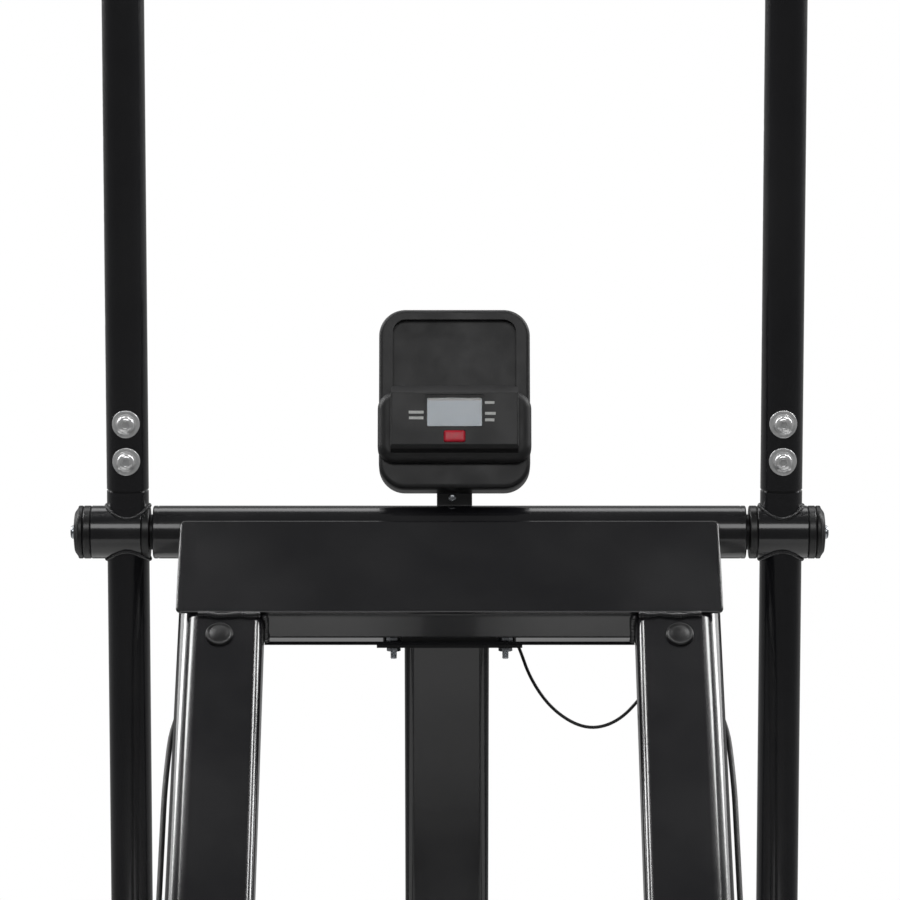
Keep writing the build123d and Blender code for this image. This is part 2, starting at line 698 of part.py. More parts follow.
    pin = rod(pin_r, -fork_outer, fork_outer)
    for end in (-1, 1):
        pin += rod(10, end * fork_outer, end * (fork_outer + 5))
    save(f"pivot_pin_{side}", Pos(x, pivot_y, pivot_z) * pin)


# ---------------------------------------------------------------- foot carriages
def make_carriage(side):
    """Foot bar weldment, pedal, roller axle and rollers, drawn about the roller axle."""
    sign = side_sign[side]
    x = arm_x[side]
    bar_inner = x - sign * bar_width / 2
    bar_outer = x + sign * bar_width / 2
    front_end = -(pedal_length - 34)
    turn = Pos(0, roller_y, roller_z) * Rot(bar_tilt, 0, 0)

    knuckle_r, knuckle_half = 15.0, 19.5
    tube = Rot(-90, 0, 0) * box_tube(bar_width, bar_height, bar_span - 10 - front_end, 4.0)
    bar = Pos(x, front_end, 0) * tube
    bar -= Pos(0, bar_span, 0) * rod(knuckle_r - 0.01, x - 40, x + 40)
    bar += Pos(0, bar_span, 0) * ring(knuckle_r, pin_r + running, x - knuckle_half, x + knuckle_half)
    for y in (-60, -200):
        strut = Rot(0, 90, 0) * box_tube(bar_width, bar_width, abs(bar_inner) - pedal_inner, 3.0)
        bar += Pos(min(bar_inner, sign * pedal_inner), y, pedal_lift - bar_width / 2) * strut
    hanger = block(sign * pedal_inner, sign * (pedal_inner + 5), -72, 14, -14, pedal_lift)
    bar += hanger
    bar -= rod(pin_r, sign * (pedal_inner - 20), bar_outer + sign * 20)
    save(f"foot_bar_{side}", turn * bar)

    cap = Rot(90, 0, 0) * extrude(RectangleRounded(bar_width, bar_height, 4.0), 4)
    plug = Rot(-90, 0, 0) * extrude(RectangleRounded(bar_width - 4, bar_height - 4, 2.0), 14)
    save(f"foot_bar_cap_{side}", turn * Pos(x, front_end, 0) * (cap + plug))

    width = abs(bar_outer) - pedal_inner
    centre_x = sign * (pedal_inner + width / 2)
    centre_y = 43 - pedal_length / 2
    tread = extrude(RectangleRounded(width, pedal_length, 20), pedal_rim + pedal_thick)
    well = Pos(0, 0, pedal_thick) * extrude(RectangleRounded(width - 9, pedal_length - 9, 16), 40)
    save(f"foot_pedal_{side}", turn * Pos(centre_x, centre_y, pedal_lift) * (tread - well))

    lug_gap = 1.8
    axle = rod(pin_r, sign * (pedal_inner - 6), bar_outer + sign * 8)
    outer_roller_end = rail_x + roller_width + 6
    axle += ring(9, pin_r, sign * (outer_roller_end + clearance), sign * (sheath_x - lug_gap))
    axle += ring(9, pin_r, sign * (sheath_x + lug_gap), bar_inner)
    axle += ring(10, pin_r, bar_outer, bar_outer + sign * 8)
    axle += ring(10, pin_r, sign * (pedal_inner - 6), sign * pedal_inner)
    inner_roller = rail_x - roller_width - 6
    axle += ring(9, pin_r, sign * (pedal_inner + 5), sign * (inner_roller - clearance))
    save(f"roller_axle_{side}", turn * axle)

    rollers = []
    for start in (inner_roller, rail_x + 6):
        roller = ring(roller_r, pin_r + running, sign * start, sign * (start + roller_width))
        for end, depth in ((start, 3), (start + roller_width, -3)):
            roller -= ring(24, 11, sign * end, sign * (end + depth))
        rollers.append(roller)
    save(f"rail_rollers_{side}", turn * group(rollers))


# ---------------------------------------------------------------- build everything
make_rails()
make_rail_plugs()
make_cover_plate()
make_cross_tube()
make_post_head()
make_rear_post()
make_axle()
make_base()
make_balance_sheath()
make_sheath_clips()
make_cable_drives()
make_stride_sensor()
make_console()
for arm_side in side_sign:
    make_arm(arm_side)
    make_carriage(arm_side)

print("pivot", round(pivot_y + axle_y, 3), round(pivot_z + axle_height, 3))
print("roller axle", round(roller_y + axle_y, 3), round(roller_z + axle_height, 3))
print("foot bar tilt", round(bar_tilt, 4))
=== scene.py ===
# %% [markdown]
# # A vertical climber
# The machine is black powder-coated steel: two inclined rails, a leaning rear post, an axle
# tube, and two arms that swing on the axle and carry the foot pedals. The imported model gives
# every place and size. This script gives it finishes, and rebuilds the small pieces that
# need softer edges or finer detail than their plain solids have.

# %% Load the frame
import json
import math

import bmesh
import bpy
from mathutils import Matrix, Vector


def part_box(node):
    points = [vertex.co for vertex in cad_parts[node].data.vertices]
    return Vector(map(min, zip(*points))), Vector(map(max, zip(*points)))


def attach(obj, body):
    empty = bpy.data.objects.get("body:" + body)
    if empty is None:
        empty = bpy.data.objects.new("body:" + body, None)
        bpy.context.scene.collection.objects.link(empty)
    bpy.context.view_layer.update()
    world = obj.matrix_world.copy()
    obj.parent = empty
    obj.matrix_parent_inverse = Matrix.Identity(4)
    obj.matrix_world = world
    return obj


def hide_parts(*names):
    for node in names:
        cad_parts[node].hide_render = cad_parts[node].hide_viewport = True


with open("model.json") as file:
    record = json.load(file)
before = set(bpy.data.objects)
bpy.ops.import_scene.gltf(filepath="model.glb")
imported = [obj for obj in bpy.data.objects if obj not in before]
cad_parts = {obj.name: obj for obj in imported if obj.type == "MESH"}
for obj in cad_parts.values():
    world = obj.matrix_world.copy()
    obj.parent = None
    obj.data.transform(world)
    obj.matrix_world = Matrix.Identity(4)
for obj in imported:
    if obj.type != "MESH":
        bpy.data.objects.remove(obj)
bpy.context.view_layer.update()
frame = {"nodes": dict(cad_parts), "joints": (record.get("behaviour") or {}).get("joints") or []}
joints = {joint["name"]: joint for joint in frame["joints"]}
mm = 0.001

# %% [markdown]
# Tilted members are easiest to detail in their own upright frame. Each frame below keeps X to
# the right and turns about X, so its Z runs up the member. The joints in the record hold
# all that is needed: the axle, the way the cables slide along the rails, the arm's two pivots,
# the bar from pivot to roller, and the way that the console's button presses in.

# %% Frames of the tilted members
def upright_frame(origin, up):
    """Local X right, Z along up, Y away from the user."""
    z_axis = Vector(up).normalized()
    x_axis = Vector((1, 0, 0))
    y_axis = z_axis.cross(x_axis)
    turned = Matrix((x_axis, y_axis, z_axis)).transposed().to_4x4()
    return Matrix.Translation(Vector(origin)) @ turned


def joint_place(name):
    return Vector(joints[name]["pos_m"])


axle = Vector((0, *joint_place("left_swing")[1:]))
rail_frame = upright_frame(axle, joints["left_cable_slide"]["axis"])
press = Vector(joints["mode_press"]["axis"])
console_up = Vector((1, 0, 0)).cross(press)
sides = {"left": -1, "right": 1}
arm_frames = {}
bar_frames = {}
for side in sides:
    pivot = joint_place(f"{side}_foot_pivot")
    roller = joint_place(f"{side}_roller_spin")
    hub = Vector((pivot.x, axle.y, axle.z))
    arm_frames[side] = upright_frame(hub, hub - pivot)
    roller_under_bar = Vector((pivot.x, roller.y, roller.z))
    bar_up = Vector((1, 0, 0)).cross(pivot - roller_under_bar)
    bar_frames[side] = upright_frame(roller_under_bar, bar_up)
print("axle at", axle, "arm lean", round(math.degrees(math.atan2(*(hub - pivot).yz)), 2))

# %% [markdown]
# ## Camera and light
# The machine is seen square on and slightly from above its axle, through a long lens from
# about four metres, so upright edges stay nearly upright. Gloss black shows little but what
# it reflects: tall softboxes at both sides draw bright lines down every rounded corner, while
# the space in front stays dim, so that the flat faces stay black.

# %% Camera
camera_distance = 4.0
camera_rise = 0.0743
image_width = 900
focal_pixels = 4416
camera_data = bpy.data.cameras.new("camera")
camera_data.sensor_width = 36.0
camera_data.lens = camera_data.sensor_width * focal_pixels / image_width
camera_data.clip_end = 60.0
camera = bpy.data.objects.new("camera", camera_data)
camera.location = (0.0004, axle.y - camera_distance, axle.z + camera_rise)
camera.rotation_euler = (math.radians(90), 0, 0)
bpy.context.scene.collection.objects.link(camera)
bpy.context.scene.camera = camera
bpy.context.scene.view_settings.view_transform = "Standard"
print("camera", tuple(round(v, 3) for v in camera.location), "lens", round(camera_data.lens, 1))


# %% Colour and node helpers
def srgb(code, alpha=1.0):
    """A hex colour as the linear values that shaders work in."""
    values = []
    for i in (0, 2, 4):
        value = int(code[i:i + 2], 16) / 255
        values.append(value / 12.92 if value <= 0.04045 else ((value + 0.055) / 1.055) ** 2.4)
    return (*values, alpha)


def add_node(tree, kind, links=None, **settings):
    """Adds one node. Settings whose names match an input are its values, others its properties."""
    node = tree.nodes.new(kind)
    for name, value in settings.items():
        if hasattr(node, name):
            setattr(node, name, value)
    for name, value in settings.items():
        if not hasattr(node, name):
            node.inputs[name.replace("_", " ")].default_value = value
    for name, source in (links or {}).items():
        tree.links.new(source, node.inputs[name])
    return node


def object_noise(tree, size_mm, detail=3.0, roughness=0.55):
    """Noise whose features are about size_mm across, fixed to the piece."""
    place = add_node(tree, "ShaderNodeTexCoord")
    return add_node(tree, "ShaderNodeTexNoise", {"Vector": place.outputs["Object"]},
                    Scale=1.0 / (size_mm * mm), Detail=detail, Roughness=roughness)


def spread(tree, source, low, high, start=0.35, end=0.65):
    """Stretches a pattern's middle range over low to high."""
    node = add_node(tree, "ShaderNodeMapRange", {"Value": source})
    node.inputs["From Min"].default_value = start
    node.inputs["From Max"].default_value = end
    node.inputs["To Min"].default_value = low
    node.inputs["To Max"].default_value = high
    return node.outputs["Result"]


# %% [markdown]
# The surroundings are a plain world that the camera sees as white. What the machine reflects
# is dimmer: darkest in front, so that its flat faces stay black, and brighter behind and
# overhead. Its direction comes from the world's own coordinates, so it stays put when the
# camera moves.

# %% World
world = bpy.data.worlds.new("studio")
world.use_nodes = True
bpy.context.scene.world = world
tree = world.node_tree
tree.nodes.clear()
place = add_node(tree, "ShaderNodeTexCoord")
parts = add_node(tree, "ShaderNodeSeparateXYZ", {"Vector": place.outputs["Generated"]})
behind = spread(tree, parts.outputs["Y"], 0.11, 0.24, 0.0, 0.9)
overhead = spread(tree, parts.outputs["Z"], 0.0, 0.03, 0.3, 0.9)
both = add_node(tree, "ShaderNodeMath", {0: behind, 1: overhead}, operation="ADD")
seen = add_node(tree, "ShaderNodeLightPath")
strength = add_node(tree, "ShaderNodeMath", {0: both.outputs[0], 1: seen.outputs["Is Camera Ray"]},
                    operation="MAXIMUM")
sky = add_node(tree, "ShaderNodeBackground", {"Strength": strength.outputs[0]},
               Color=srgb("ffffff"))
add_node(tree, "ShaderNodeOutputWorld", {"Surface": sky.outputs[0]})
print("world nodes", [node.name for node in tree.nodes])


# %% [markdown]
# Two strips stand high at each side, with a dim broad panel between them. A rail's rounded
# corner turns from its front to its flank, so it mirrors both strips as two bright lines
# with grey between, while the upright arms lean the other way and mirror only the dim
# horizon. A soft panel in front fills the console, and one high behind lights the floor.

# %% Softboxes
def softbox(name, toward, distance, width, height, power, target):
    """A large area lamp that stands in a direction from a point, and faces it."""
    data = bpy.data.lights.new(name, "AREA")
    data.shape = "RECTANGLE"
    data.size = width
    data.size_y = height
    data.energy = power
    lamp = bpy.data.objects.new(name, data)
    lamp.location = Vector(target) + Vector(toward).normalized() * distance
    lamp.rotation_euler = (-Vector(toward)).to_track_quat("-Z", "Y").to_euler()
    bpy.context.scene.collection.objects.link(lamp)
    return lamp


middle = axle + Vector((0, -0.2, -0.15))       # all the lamps face this point
for name, sign in sides.items():
    softbox(f"high_strip_{name}", (sign * 0.44, -0.07, 0.90), 3.0, 0.30, 1.2, 20, middle)
    softbox(f"side_strip_{name}", (sign * 0.74, 0.25, 0.63), 3.0, 0.30, 1.4, 19, middle)
    softbox(f"side_panel_{name}", (sign * 0.74, 0.42, 0.50), 3.4, 1.7, 1.9, 28, middle)
softbox("front_fill", (0.0, -0.86, 0.5), 3.8, 2.6, 1.2, 30, middle)
softbox("top_wash", (0.0, 0.45, 0.9), 3.2, 2.4, 1.2, 16, middle)

# %% [markdown]
# The floor is a round sheet just large enough to stand the machine on. The upright arms
# mirror it, and a wider one would turn their black coat grey.

# %% Floor
floor_radius = 1.5
rim_points = 96
floor_mesh = bpy.data.meshes.new("studio_floor")
rim = [2 * math.pi * k / rim_points for k in range(rim_points)]
floor_mesh.from_pydata(
    [(floor_radius * math.cos(turn), floor_radius * math.sin(turn), 0) for turn in rim],
    [], [range(rim_points)])
floor = bpy.data.objects.new("studio_floor", floor_mesh)
bpy.context.scene.collection.objects.link(floor)
print("floor radius", floor_radius, "m")


# %% [markdown]
# ## Finishes
# Each finish is what the real surface is. The powder coat is a thick black film that cures
# glossy with a faint orange-peel ripple, about 3 mm from crest to crest. A clear coat layer
# in the shader gives the sharp reflections, and the base under it stays nearly black.

# %% Shared surface pattern
def surface(name, dark, light, roughness, grain_mm, bump_mm, patch_mm=40.0, **constants):
    """A shader whose colour and roughness drift between two values, with a fine relief."""
    material = bpy.data.materials.new(name)
    material.use_nodes = True
    tree = material.node_tree
    tree.nodes.clear()
    patches = object_noise(tree, patch_mm)
    colour = add_node(tree, "ShaderNodeMix", data_type="RGBA")
    colour.inputs[6].default_value = srgb(dark)
    colour.inputs[7].default_value = srgb(light)
    tree.links.new(spread(tree, patches.outputs["Fac"], 0.0, 1.0), colour.inputs["Factor"])
    grain = object_noise(tree, grain_mm)
    relief = add_node(tree, "ShaderNodeBump", {"Height": grain.outputs["Fac"]},
                      Strength=1.0, Distance=bump_mm * mm)
    shader = add_node(tree, "ShaderNodeBsdfPrincipled", {
        "Base Color": colour.outputs[2],
        "Normal": relief.outputs["Normal"],
        "Roughness": spread(tree, patches.outputs["Fac"], roughness[0], roughness[1]),
    }, **constants)
    add_node(tree, "ShaderNodeOutputMaterial", {"Surface": shader.outputs[0]})
    return material


# %% Painted steel
# Gloss powder coat: a deep black film whose sharp reflections waver slightly.
powder_coat = surface("gloss_black_powder_coat", "17171a", "1d1d1f", (0.17, 0.23), 3.0, 0.010,
                      patch_mm=90, Coat_Weight=0.6, Coat_Roughness=0.07)
# The coat over a weld: its ripples break the reflection into short glints, and its
# base, lighter than the coat's in small patches, adds painted glints.
weld_coat_painted_glints = surface("powder_coated_weld", "1c1c1e", "29292b", (0.08, 0.18), 1.2, 0.05,
                    patch_mm=4, Coat_Weight=0.5, Coat_Roughness=0.10)
print("painted steel:", powder_coat.name, weld_coat_painted_glints.name)

# %% [markdown]
# Bolts, pins and shafts are bare or plated steel. Plating follows how the steel under it was
# made, so chrome is smooth, zinc is slightly clouded, and turned steel keeps the fine trace of
# the tool. Traces finer than half a millimetre would not show, so they are drawn at that size.

# %% Bare and plated metal
# Nickel-chrome plate: crisp reflections over a nearly white base. Half of it is left
# non-metallic, as a painted highlight that keeps it bright where the room it mirrors is dark.
chrome_painted_highlight = surface("nickel_chrome_plate", "e6e7e8", "f4f4f4", (0.10, 0.18), 2.0, 0.002,
                        patch_mm=6, Metallic=0.55)
# Bright zinc plate: a cool light grey, slightly clouded.
bright_zinc = surface("bright_zinc_plate", "a9adb2", "c2c5c8", (0.22, 0.36), 0.8, 0.006,
                      patch_mm=5, Metallic=1.0)
# Turned steel: a mid grey with a soft sheen from the tool's fine marks.
turned_steel = surface("turned_bright_steel", "8e9196", "a5a8ab", (0.25, 0.34), 0.5, 0.004,
                       patch_mm=9, Metallic=1.0)
# Stranded wire: duller, because light falls between the strands.
stranded_wire = surface("stranded_steel_wire", "7d8084", "9a9da0", (0.3, 0.42), 0.6, 0.03,
                        patch_mm=4, Metallic=1.0)
# Black oxide: an oiled dark film that keeps some of the metal's sheen.
black_oxide = surface("black_oxide_steel", "1b1b1c", "252526", (0.34, 0.44), 0.8, 0.01,
                      patch_mm=8, Metallic=0.6)
print("metals:", chrome_painted_highlight.name, bright_zinc.name, turned_steel.name)

# %% [markdown]
# All the plastics are black, so only their surfaces tell them apart. A mould is polished,
# sanded or spark-eroded, and the part copies it. Spark texture and foam cells are about a
# tenth to a third of a millimetre in truth, and are drawn coarser so that they show.

# %% Plastics, rubbers and foam
# Spark-textured ABS: an even satin grain that hides fingerprints.
spark_abs = surface("spark_textured_abs", "1d1d1e", "232324", (0.44, 0.54), 0.5, 0.018,
                    patch_mm=30)
# Smooth ABS: softly glossy, with long faint sink marks.
smooth_abs = surface("smooth_moulded_abs", "1a1a1b", "202021", (0.28, 0.36), 0.9, 0.006,
                     patch_mm=24)
# Polyethylene: waxy, between satin and gloss.
moulded_pe = surface("satin_moulded_polyethylene", "161617", "1f1f20", (0.30, 0.42), 0.8, 0.012,
                     patch_mm=12)
# Bush nylon: smooth, and slightly brighter than the coat beside it.
bush_nylon = surface("black_bush_nylon", "19191a", "222223", (0.26, 0.36), 1.0, 0.008,
                     patch_mm=14)
# Glass-filled nylon: matt, with a dry mottle where fibres reach the surface.
pedal_nylon = surface("glass_filled_pedal_nylon", "18181a", "232325", (0.42, 0.56), 0.9, 0.03,
                      patch_mm=18)
# Closed-cell foam: dead matt, with a soft edge where the cells catch grazing light.
grip_foam = surface("closed_cell_grip_foam", "151515", "1f1f1f", (0.78, 0.92), 0.8, 0.16,
                    patch_mm=12, Sheen_Weight=0.25, Sheen_Roughness=0.5)
# Moulded rubber: matt and very dark.
foot_rubber = surface("moulded_foot_rubber", "131313", "1d1d1c", (0.62, 0.78), 0.9, 0.03,
                      patch_mm=14)
# Cast urethane: a dark grey with a slight sheen, smoothed by rolling.
tread_urethane = surface("cast_urethane_tread", "2a2a2b", "353536", (0.38, 0.50), 1.4, 0.02,
                         patch_mm=10)
# Extruded PVC: even and satin along its whole length.
cable_pvc = surface("extruded_cable_pvc", "0e0e0f", "161617", (0.34, 0.46), 1.2, 0.02,
                    patch_mm=15)
print("plastics:", spark_abs.name, moulded_pe.name, grip_foam.name)

# %% [markdown]
# The console brings the only colours: its red key, its grey-blue display and, inside, its
# board and cells. The floor is a matt pale paint.

# %% Console finishes and the floor
# Translucent ABS key: a saturated red with a soft gloss.
key_red = surface("translucent_red_key", "c4152e", "d21a35", (0.30, 0.38), 0.6, 0.006,
                  patch_mm=5)
# Liquid crystal panel: an even grey-blue, slightly glossy behind its window.
screen_glass = surface("liquid_crystal_panel", "6b7f93", "73879b", (0.20, 0.26), 0.4, 0.002,
                       patch_mm=20)
# Solder mask: a deep green lacquer.
board_mask = surface("green_solder_mask", "0e4a22", "14582a", (0.35, 0.45), 1.0, 0.01,
                     patch_mm=3)
# Shrink wrap on the cells: a plain ochre film.
cell_wrap = surface("plain_cell_wrap", "8a6a1c", "9b7a26", (0.30, 0.42), 1.5, 0.01, patch_mm=8)
# Pad print: an opaque matt white that is slightly thinner in places.
print_white = surface("pad_printed_white", "c9cac8", "d8d9d7", (0.5, 0.6), 0.4, 0.006,
                      patch_mm=2)
# Studio floor: matt, and just off white.
floor_paint = surface("pale_studio_floor", "dededd", "e3e3e2", (0.55, 0.65), 8.0, 0.05,
                      patch_mm=600)
floor_mesh.materials.append(floor_paint)
print("colours:", key_red.name, screen_glass.name)

# %% [markdown]
# The window over the display is clear acrylic. It is thin and lies just over the panel, so
# a mostly transmissive shader with acrylic's refraction lets the panel's grey-blue through.

# %% Clear acrylic
# Polished acrylic: clear, with one sharp reflection.
clear_acrylic = surface("clear_acrylic_window", "f4f7f8", "ffffff", (0.02, 0.04), 1.0, 0.001,
                        Transmission_Weight=1.0, IOR=1.49)
print("clear:", clear_acrylic.name)

# %% [markdown]
# Pieces whose CAD shape is already right keep it, and only get their finish. The list goes by
# finish, as a paint shop would sort them. Pieces that are rebuilt below are in it too, so that
# the list names what every part is made of.

# %% Paint the carried-over pieces
finishes = {
    powder_coat: ["rail_left", "rail_right", "cross_tube", "post_head", "rear_post", "axle_tube",
                  "front_base", "rear_base", "floor_beam", "console_bracket", "swing_arm_left",
                  "swing_arm_right", "handle_tube_left", "handle_tube_right", "foot_bar_left",
                  "foot_bar_right", "sheath_clips", "cover_plate"],
    moulded_pe: ["rail_plugs", "axle_caps", "base_end_caps", "foot_bar_cap_left",
                 "foot_bar_cap_right", "handle_cap_left", "handle_cap_right", "stride_sensor"],
    smooth_abs: ["console_back", "battery_door"],
    spark_abs: ["console_front"],
    bush_nylon: ["arm_bushes_left", "arm_bushes_right"],
    black_oxide: ["axle_shaft"],
    turned_steel: ["pivot_pin_left", "pivot_pin_right", "roller_axle_left",
                   "roller_axle_right", "wheel_bolts"],
    bright_zinc: ["frame_bolts", "console_screws", "stride_magnet"],
    chrome_painted_highlight: ["handle_bolts_left", "handle_bolts_right"],
    grip_foam: ["handle_grip_left", "handle_grip_right"],
    foot_rubber: ["levelling_feet"],
    tread_urethane: ["rail_rollers_left", "rail_rollers_right", "wheel_left", "wheel_right"],
    pedal_nylon: ["foot_pedal_left", "foot_pedal_right"],
    cable_pvc: ["balance_sheath", "sensor_lead"],
    stranded_wire: ["cable_drive_left", "cable_drive_right"],
    clear_acrylic: ["display_window"],
    screen_glass: ["display_module"],
    board_mask: ["circuit_board"],
    cell_wrap: ["battery_cells"],
    key_red: ["mode_button"],
}
for material, names in finishes.items():
    for name in names:
        node = frame["nodes"][name]
        node.data.materials.clear()
        node.data.materials.append(material)
print("painted", sum(len(names) for names in finishes.values()), "of", len(frame["nodes"]))


# %% [markdown]
# ## How the pieces are made
# Most small pieces of a machine like this are turned, moulded or pressed. A turned piece is a
# stack of rings round an axis, and a pressed or moulded one is a stack of rounded
# rectangles. So two helpers make nearly all of them. Each takes rows that say how far in and
# how high each ring is, and a third helper rounds the corners of such a profile, because a
# corner with no radius never catches the light.

# %% Stacked rings
def stack_rings(bm, place, rings, looped=False):
    """Adds a closed shell to bm from rings of (x, y, z) in millimetres, put in place."""
    rows = [[bm.verts.new(place @ (Vector(point) * mm)) for point in ring] for ring in rings]
    pairs = list(zip(rows, rows[1:]))
    if looped:
        pairs.append((rows[-1], rows[0]))
    count = len(rows[0])
    for low, high in pairs:
        for k in range(count):
            after = (k + 1) % count
            bm.faces.new((low[k], low[after], high[after], high[k]))
    if not looped:
        bm.faces.new(list(reversed(rows[0])))
        bm.faces.new(rows[-1])


def turned(bm, place, profile, steps=48, looped=False):
    """A turned shape. Rows are (radius, height) or (half width across flats, height, sides)."""
    rings = []
    for radius, height, *flats in profile:
        ring = []
        for k in range(steps):
            turn = 2 * math.pi * k / steps
            reach = radius
            if flats:
                sector = 2 * math.pi / flats[0]
                reach = radius / math.cos(turn % sector - sector / 2)
            ring.append((reach * math.cos(turn), reach * math.sin(turn), height))
        rings.append(ring)
    stack_rings(bm, place, rings, looped)


def pressed(bm, place, width, height, corner, profile, steps=6):
    """A rounded-rectangle shape. Rows are (inset from the outline, height)."""
    rings = []
    for inset, level in profile:
        radius = max(corner - inset, 0.2)
        ring = []
        for quarter, (sx, sy) in enumerate(((1, 1), (-1, 1), (-1, -1), (1, -1))):
            for k in range(steps + 1):
                turn = math.pi / 2 * (quarter + k / steps)
                x = sx * (width / 2 - inset - radius) + radius * math.cos(turn)
                y = sy * (height / 2 - inset - radius) + radius * math.sin(turn)
                ring.append((x, y, level))
        rings.append(ring)
    stack_rings(bm, place, rings)


def eased(corners, radius, steps=3, looped=False):
    """The same profile with each corner rounded by up to radius."""
    if looped:
        corners = [corners[-1], *corners, corners[0]]
    points = [] if looped else [corners[0]]
    for before, here, after in zip(corners, corners[1:], corners[2:]):
        corner = Vector(here)
        back, on = Vector(before) - corner, Vector(after) - corner
        start = corner + back.normalized() * min(radius, back.length * 0.45)
        end = corner + on.normalized() * min(radius, on.length * 0.45)
        for k in range(steps + 1):
            t = k / steps
            points.append(tuple((1 - t) ** 2 * start + 2 * t * (1 - t) * corner + t * t * end))
    return points if looped else [*points, corners[-1]]


print("a rounded square profile has", len(eased([(0, 0), (9, 0), (9, 4), (0, 4)], 1.0)), "rows")


# %% From mesh to piece
def close_mesh(bm, name, sharp=38):
    """Merges doubles, turns faces outwards, and shades smooth except across sharp edges."""
    bmesh.ops.remove_doubles(bm, verts=bm.verts, dist=1e-7)
    bmesh.ops.recalc_face_normals(bm, faces=bm.faces)
    mesh = bpy.data.meshes.new(name)
    bm.to_mesh(mesh)
    bm.free()
    mesh.shade_smooth()
    mesh.set_sharp_from_angle(angle=math.radians(sharp))
    return mesh


def add_piece(name, mesh, finish, body, *nodes):
    """Shows a mesh on a body, in place of the CAD nodes that it stands for."""
    piece = bpy.data.objects.new(name, mesh)
    bpy.context.scene.collection.objects.link(piece)
    if finish:
        mesh.materials.clear()
        mesh.materials.append(finish)
    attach(piece, body)
    if nodes:
        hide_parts(*nodes)
    return piece


def facing_user():
    """Turns a shape's own Z towards the user."""
    return Matrix.Rotation(math.radians(90), 4, "X")


def along_x(sign=1):
    """Turns a shape's own Z to the right, or to the left for a sign of -1."""
    return Matrix.Rotation(math.radians(90 * sign), 4, "Y")


def shift(x, y, z):
    return Matrix.Translation(Vector((x, y, z)) * mm)


# %% [markdown]
# ## Cover plate
# A laser-cut steel sheet with its edges broken before coating. Its face is flat, and the
# coat draws a thin bright line along the rounded top and bottom edges. A stack of rounded
# rectangles with half a millimetre of radius at each face gives exactly that.

# %% Cover plate
rail_face = -24.0          # the rails' front faces, in the rail frame
plate_size = (485.0, 104.0)
plate_low = -112.5
bm = bmesh.new()
plate_place = rail_frame @ shift(0, rail_face, plate_low + plate_size[1] / 2) @ facing_user()
plate_corner, plate_gauge = 5.0, 3
plate_edge = [(3, 0), (0, 0), (0, plate_gauge), (3, plate_gauge)]
pressed(bm, plate_place, *plate_size, plate_corner, eased(plate_edge, 1.1), steps=8)
add_piece("cover_plate_sheet", close_mesh(bm, "cover_plate_sheet", 60), powder_coat,
          "frame", "cover_plate")
print("cover plate", plate_size, "mm, gauge", plate_gauge)

# %% [markdown]
# ## Rail plugs
# Moulded plugs close the assembly holes in the rails. Each is a shallow dome with a raised
# rim, so it shows one bright crescent on the rim and one on the dome. It is turned from its
# half section, which is the quickest way to a round moulding.

# %% Rail plugs
rail_x = 203               # each rail's middle, out from the machine's middle
plug_height = -136
bm = bmesh.new()
dome = [(12.2, 0), (12.2, 1.2), (12.0, 2.4), (11.2, 2.9), (10.2, 2.6), (9.6, 2.2), (8, 2.8),
        (4, 3.3), (0.01, 3.4)]
for sign in sides.values():
    plug_place = rail_frame @ shift(sign * rail_x, rail_face, plug_height) @ facing_user()
    turned(bm, plug_place, dome)
add_piece("rail_plug_domes", close_mesh(bm, "rail_plug_domes", 60), moulded_pe,
          "frame", "rail_plugs")
print("plugs of", 2 * dome[0][0], "mm across")

# %% [markdown]
# ## Hub caps and the bolts of the frame
# Each end of the axle is closed by a dished plastic cap with a zinc-plated screw in its
# middle. The post joint has two hexagon bolts whose threaded ends hang below the nuts. A
# thread is a helix, but at this size a stack of crests and roots looks the same and stays a
# clean closed shell.

# %% Thread profile and hub caps
def thread_rows(radius, low, high, pitch=1.25):
    """Rows of crests and roots between two heights."""
    count = max(1, round((high - low) / pitch))
    rows = []
    for k in range(count):
        level = low + (high - low) * k / count
        rows += [(radius * 0.86, level), (radius, level + pitch * 0.4),
                 (radius, level + pitch * 0.6)]
    return rows + [(radius * 0.86, high)]


cap_start = 331.3
cap_corners = [(10.2, 0), (24, 0), (24, 4.2), (22.4, 4.4), (18, 7.6), (8, 8.8), (3.4, 8.8),
               (3.4, 1.0)]
cap_profile = eased(cap_corners, 1.2)
screw = [(2.9, 0.2), (2.9, 8.4), (6.0, 8.6), (6.0, 10.2), (5.0, 11.4), (3.2, 11.8),
         (2.1, 11.8, 6), (2.1, 9.6, 6)]
bm_caps, bm_bolts = bmesh.new(), bmesh.new()
for sign in sides.values():
    cap_place = Matrix.Translation(axle) @ shift(sign * cap_start, 0, 0) @ along_x(sign)
    turned(bm_caps, cap_place, cap_profile, 64, looped=True)
    turned(bm_bolts, cap_place, screw)
head_top, joint_low = -96.5, -102.5          # the flanges that the post bolts clamp
for sign in sides.values():
    bolt_place = Matrix.Translation(axle) @ shift(sign * 50, -47, 0)
    nut = [(3.0, joint_low - 3.5), (4.6, joint_low - 3.5), (5.4, joint_low - 2.9, 6),
           (5.4, joint_low - 0.6, 6), (4.8, joint_low, 6)]
    shank = [(2.3, joint_low - 10), *thread_rows(2.9, joint_low - 9.4, joint_low - 3.5), *nut,
             (2.9, joint_low), (2.9, head_top), (5.0, head_top), (5.6, head_top + 0.6, 6),
             (5.6, head_top + 3.4, 6), (4.9, head_top + 4, 6)]
    turned(bm_bolts, bolt_place, shank)
add_piece("hub_caps", close_mesh(bm_caps, "hub_caps", 50), moulded_pe, "frame", "axle_caps")
add_piece("hub_and_post_bolts", close_mesh(bm_bolts, "hub_and_post_bolts", 30), bright_zinc,
          "frame", "frame_bolts")
print("thread rows on a post bolt", len(thread_rows(2.9, -112, -106)))

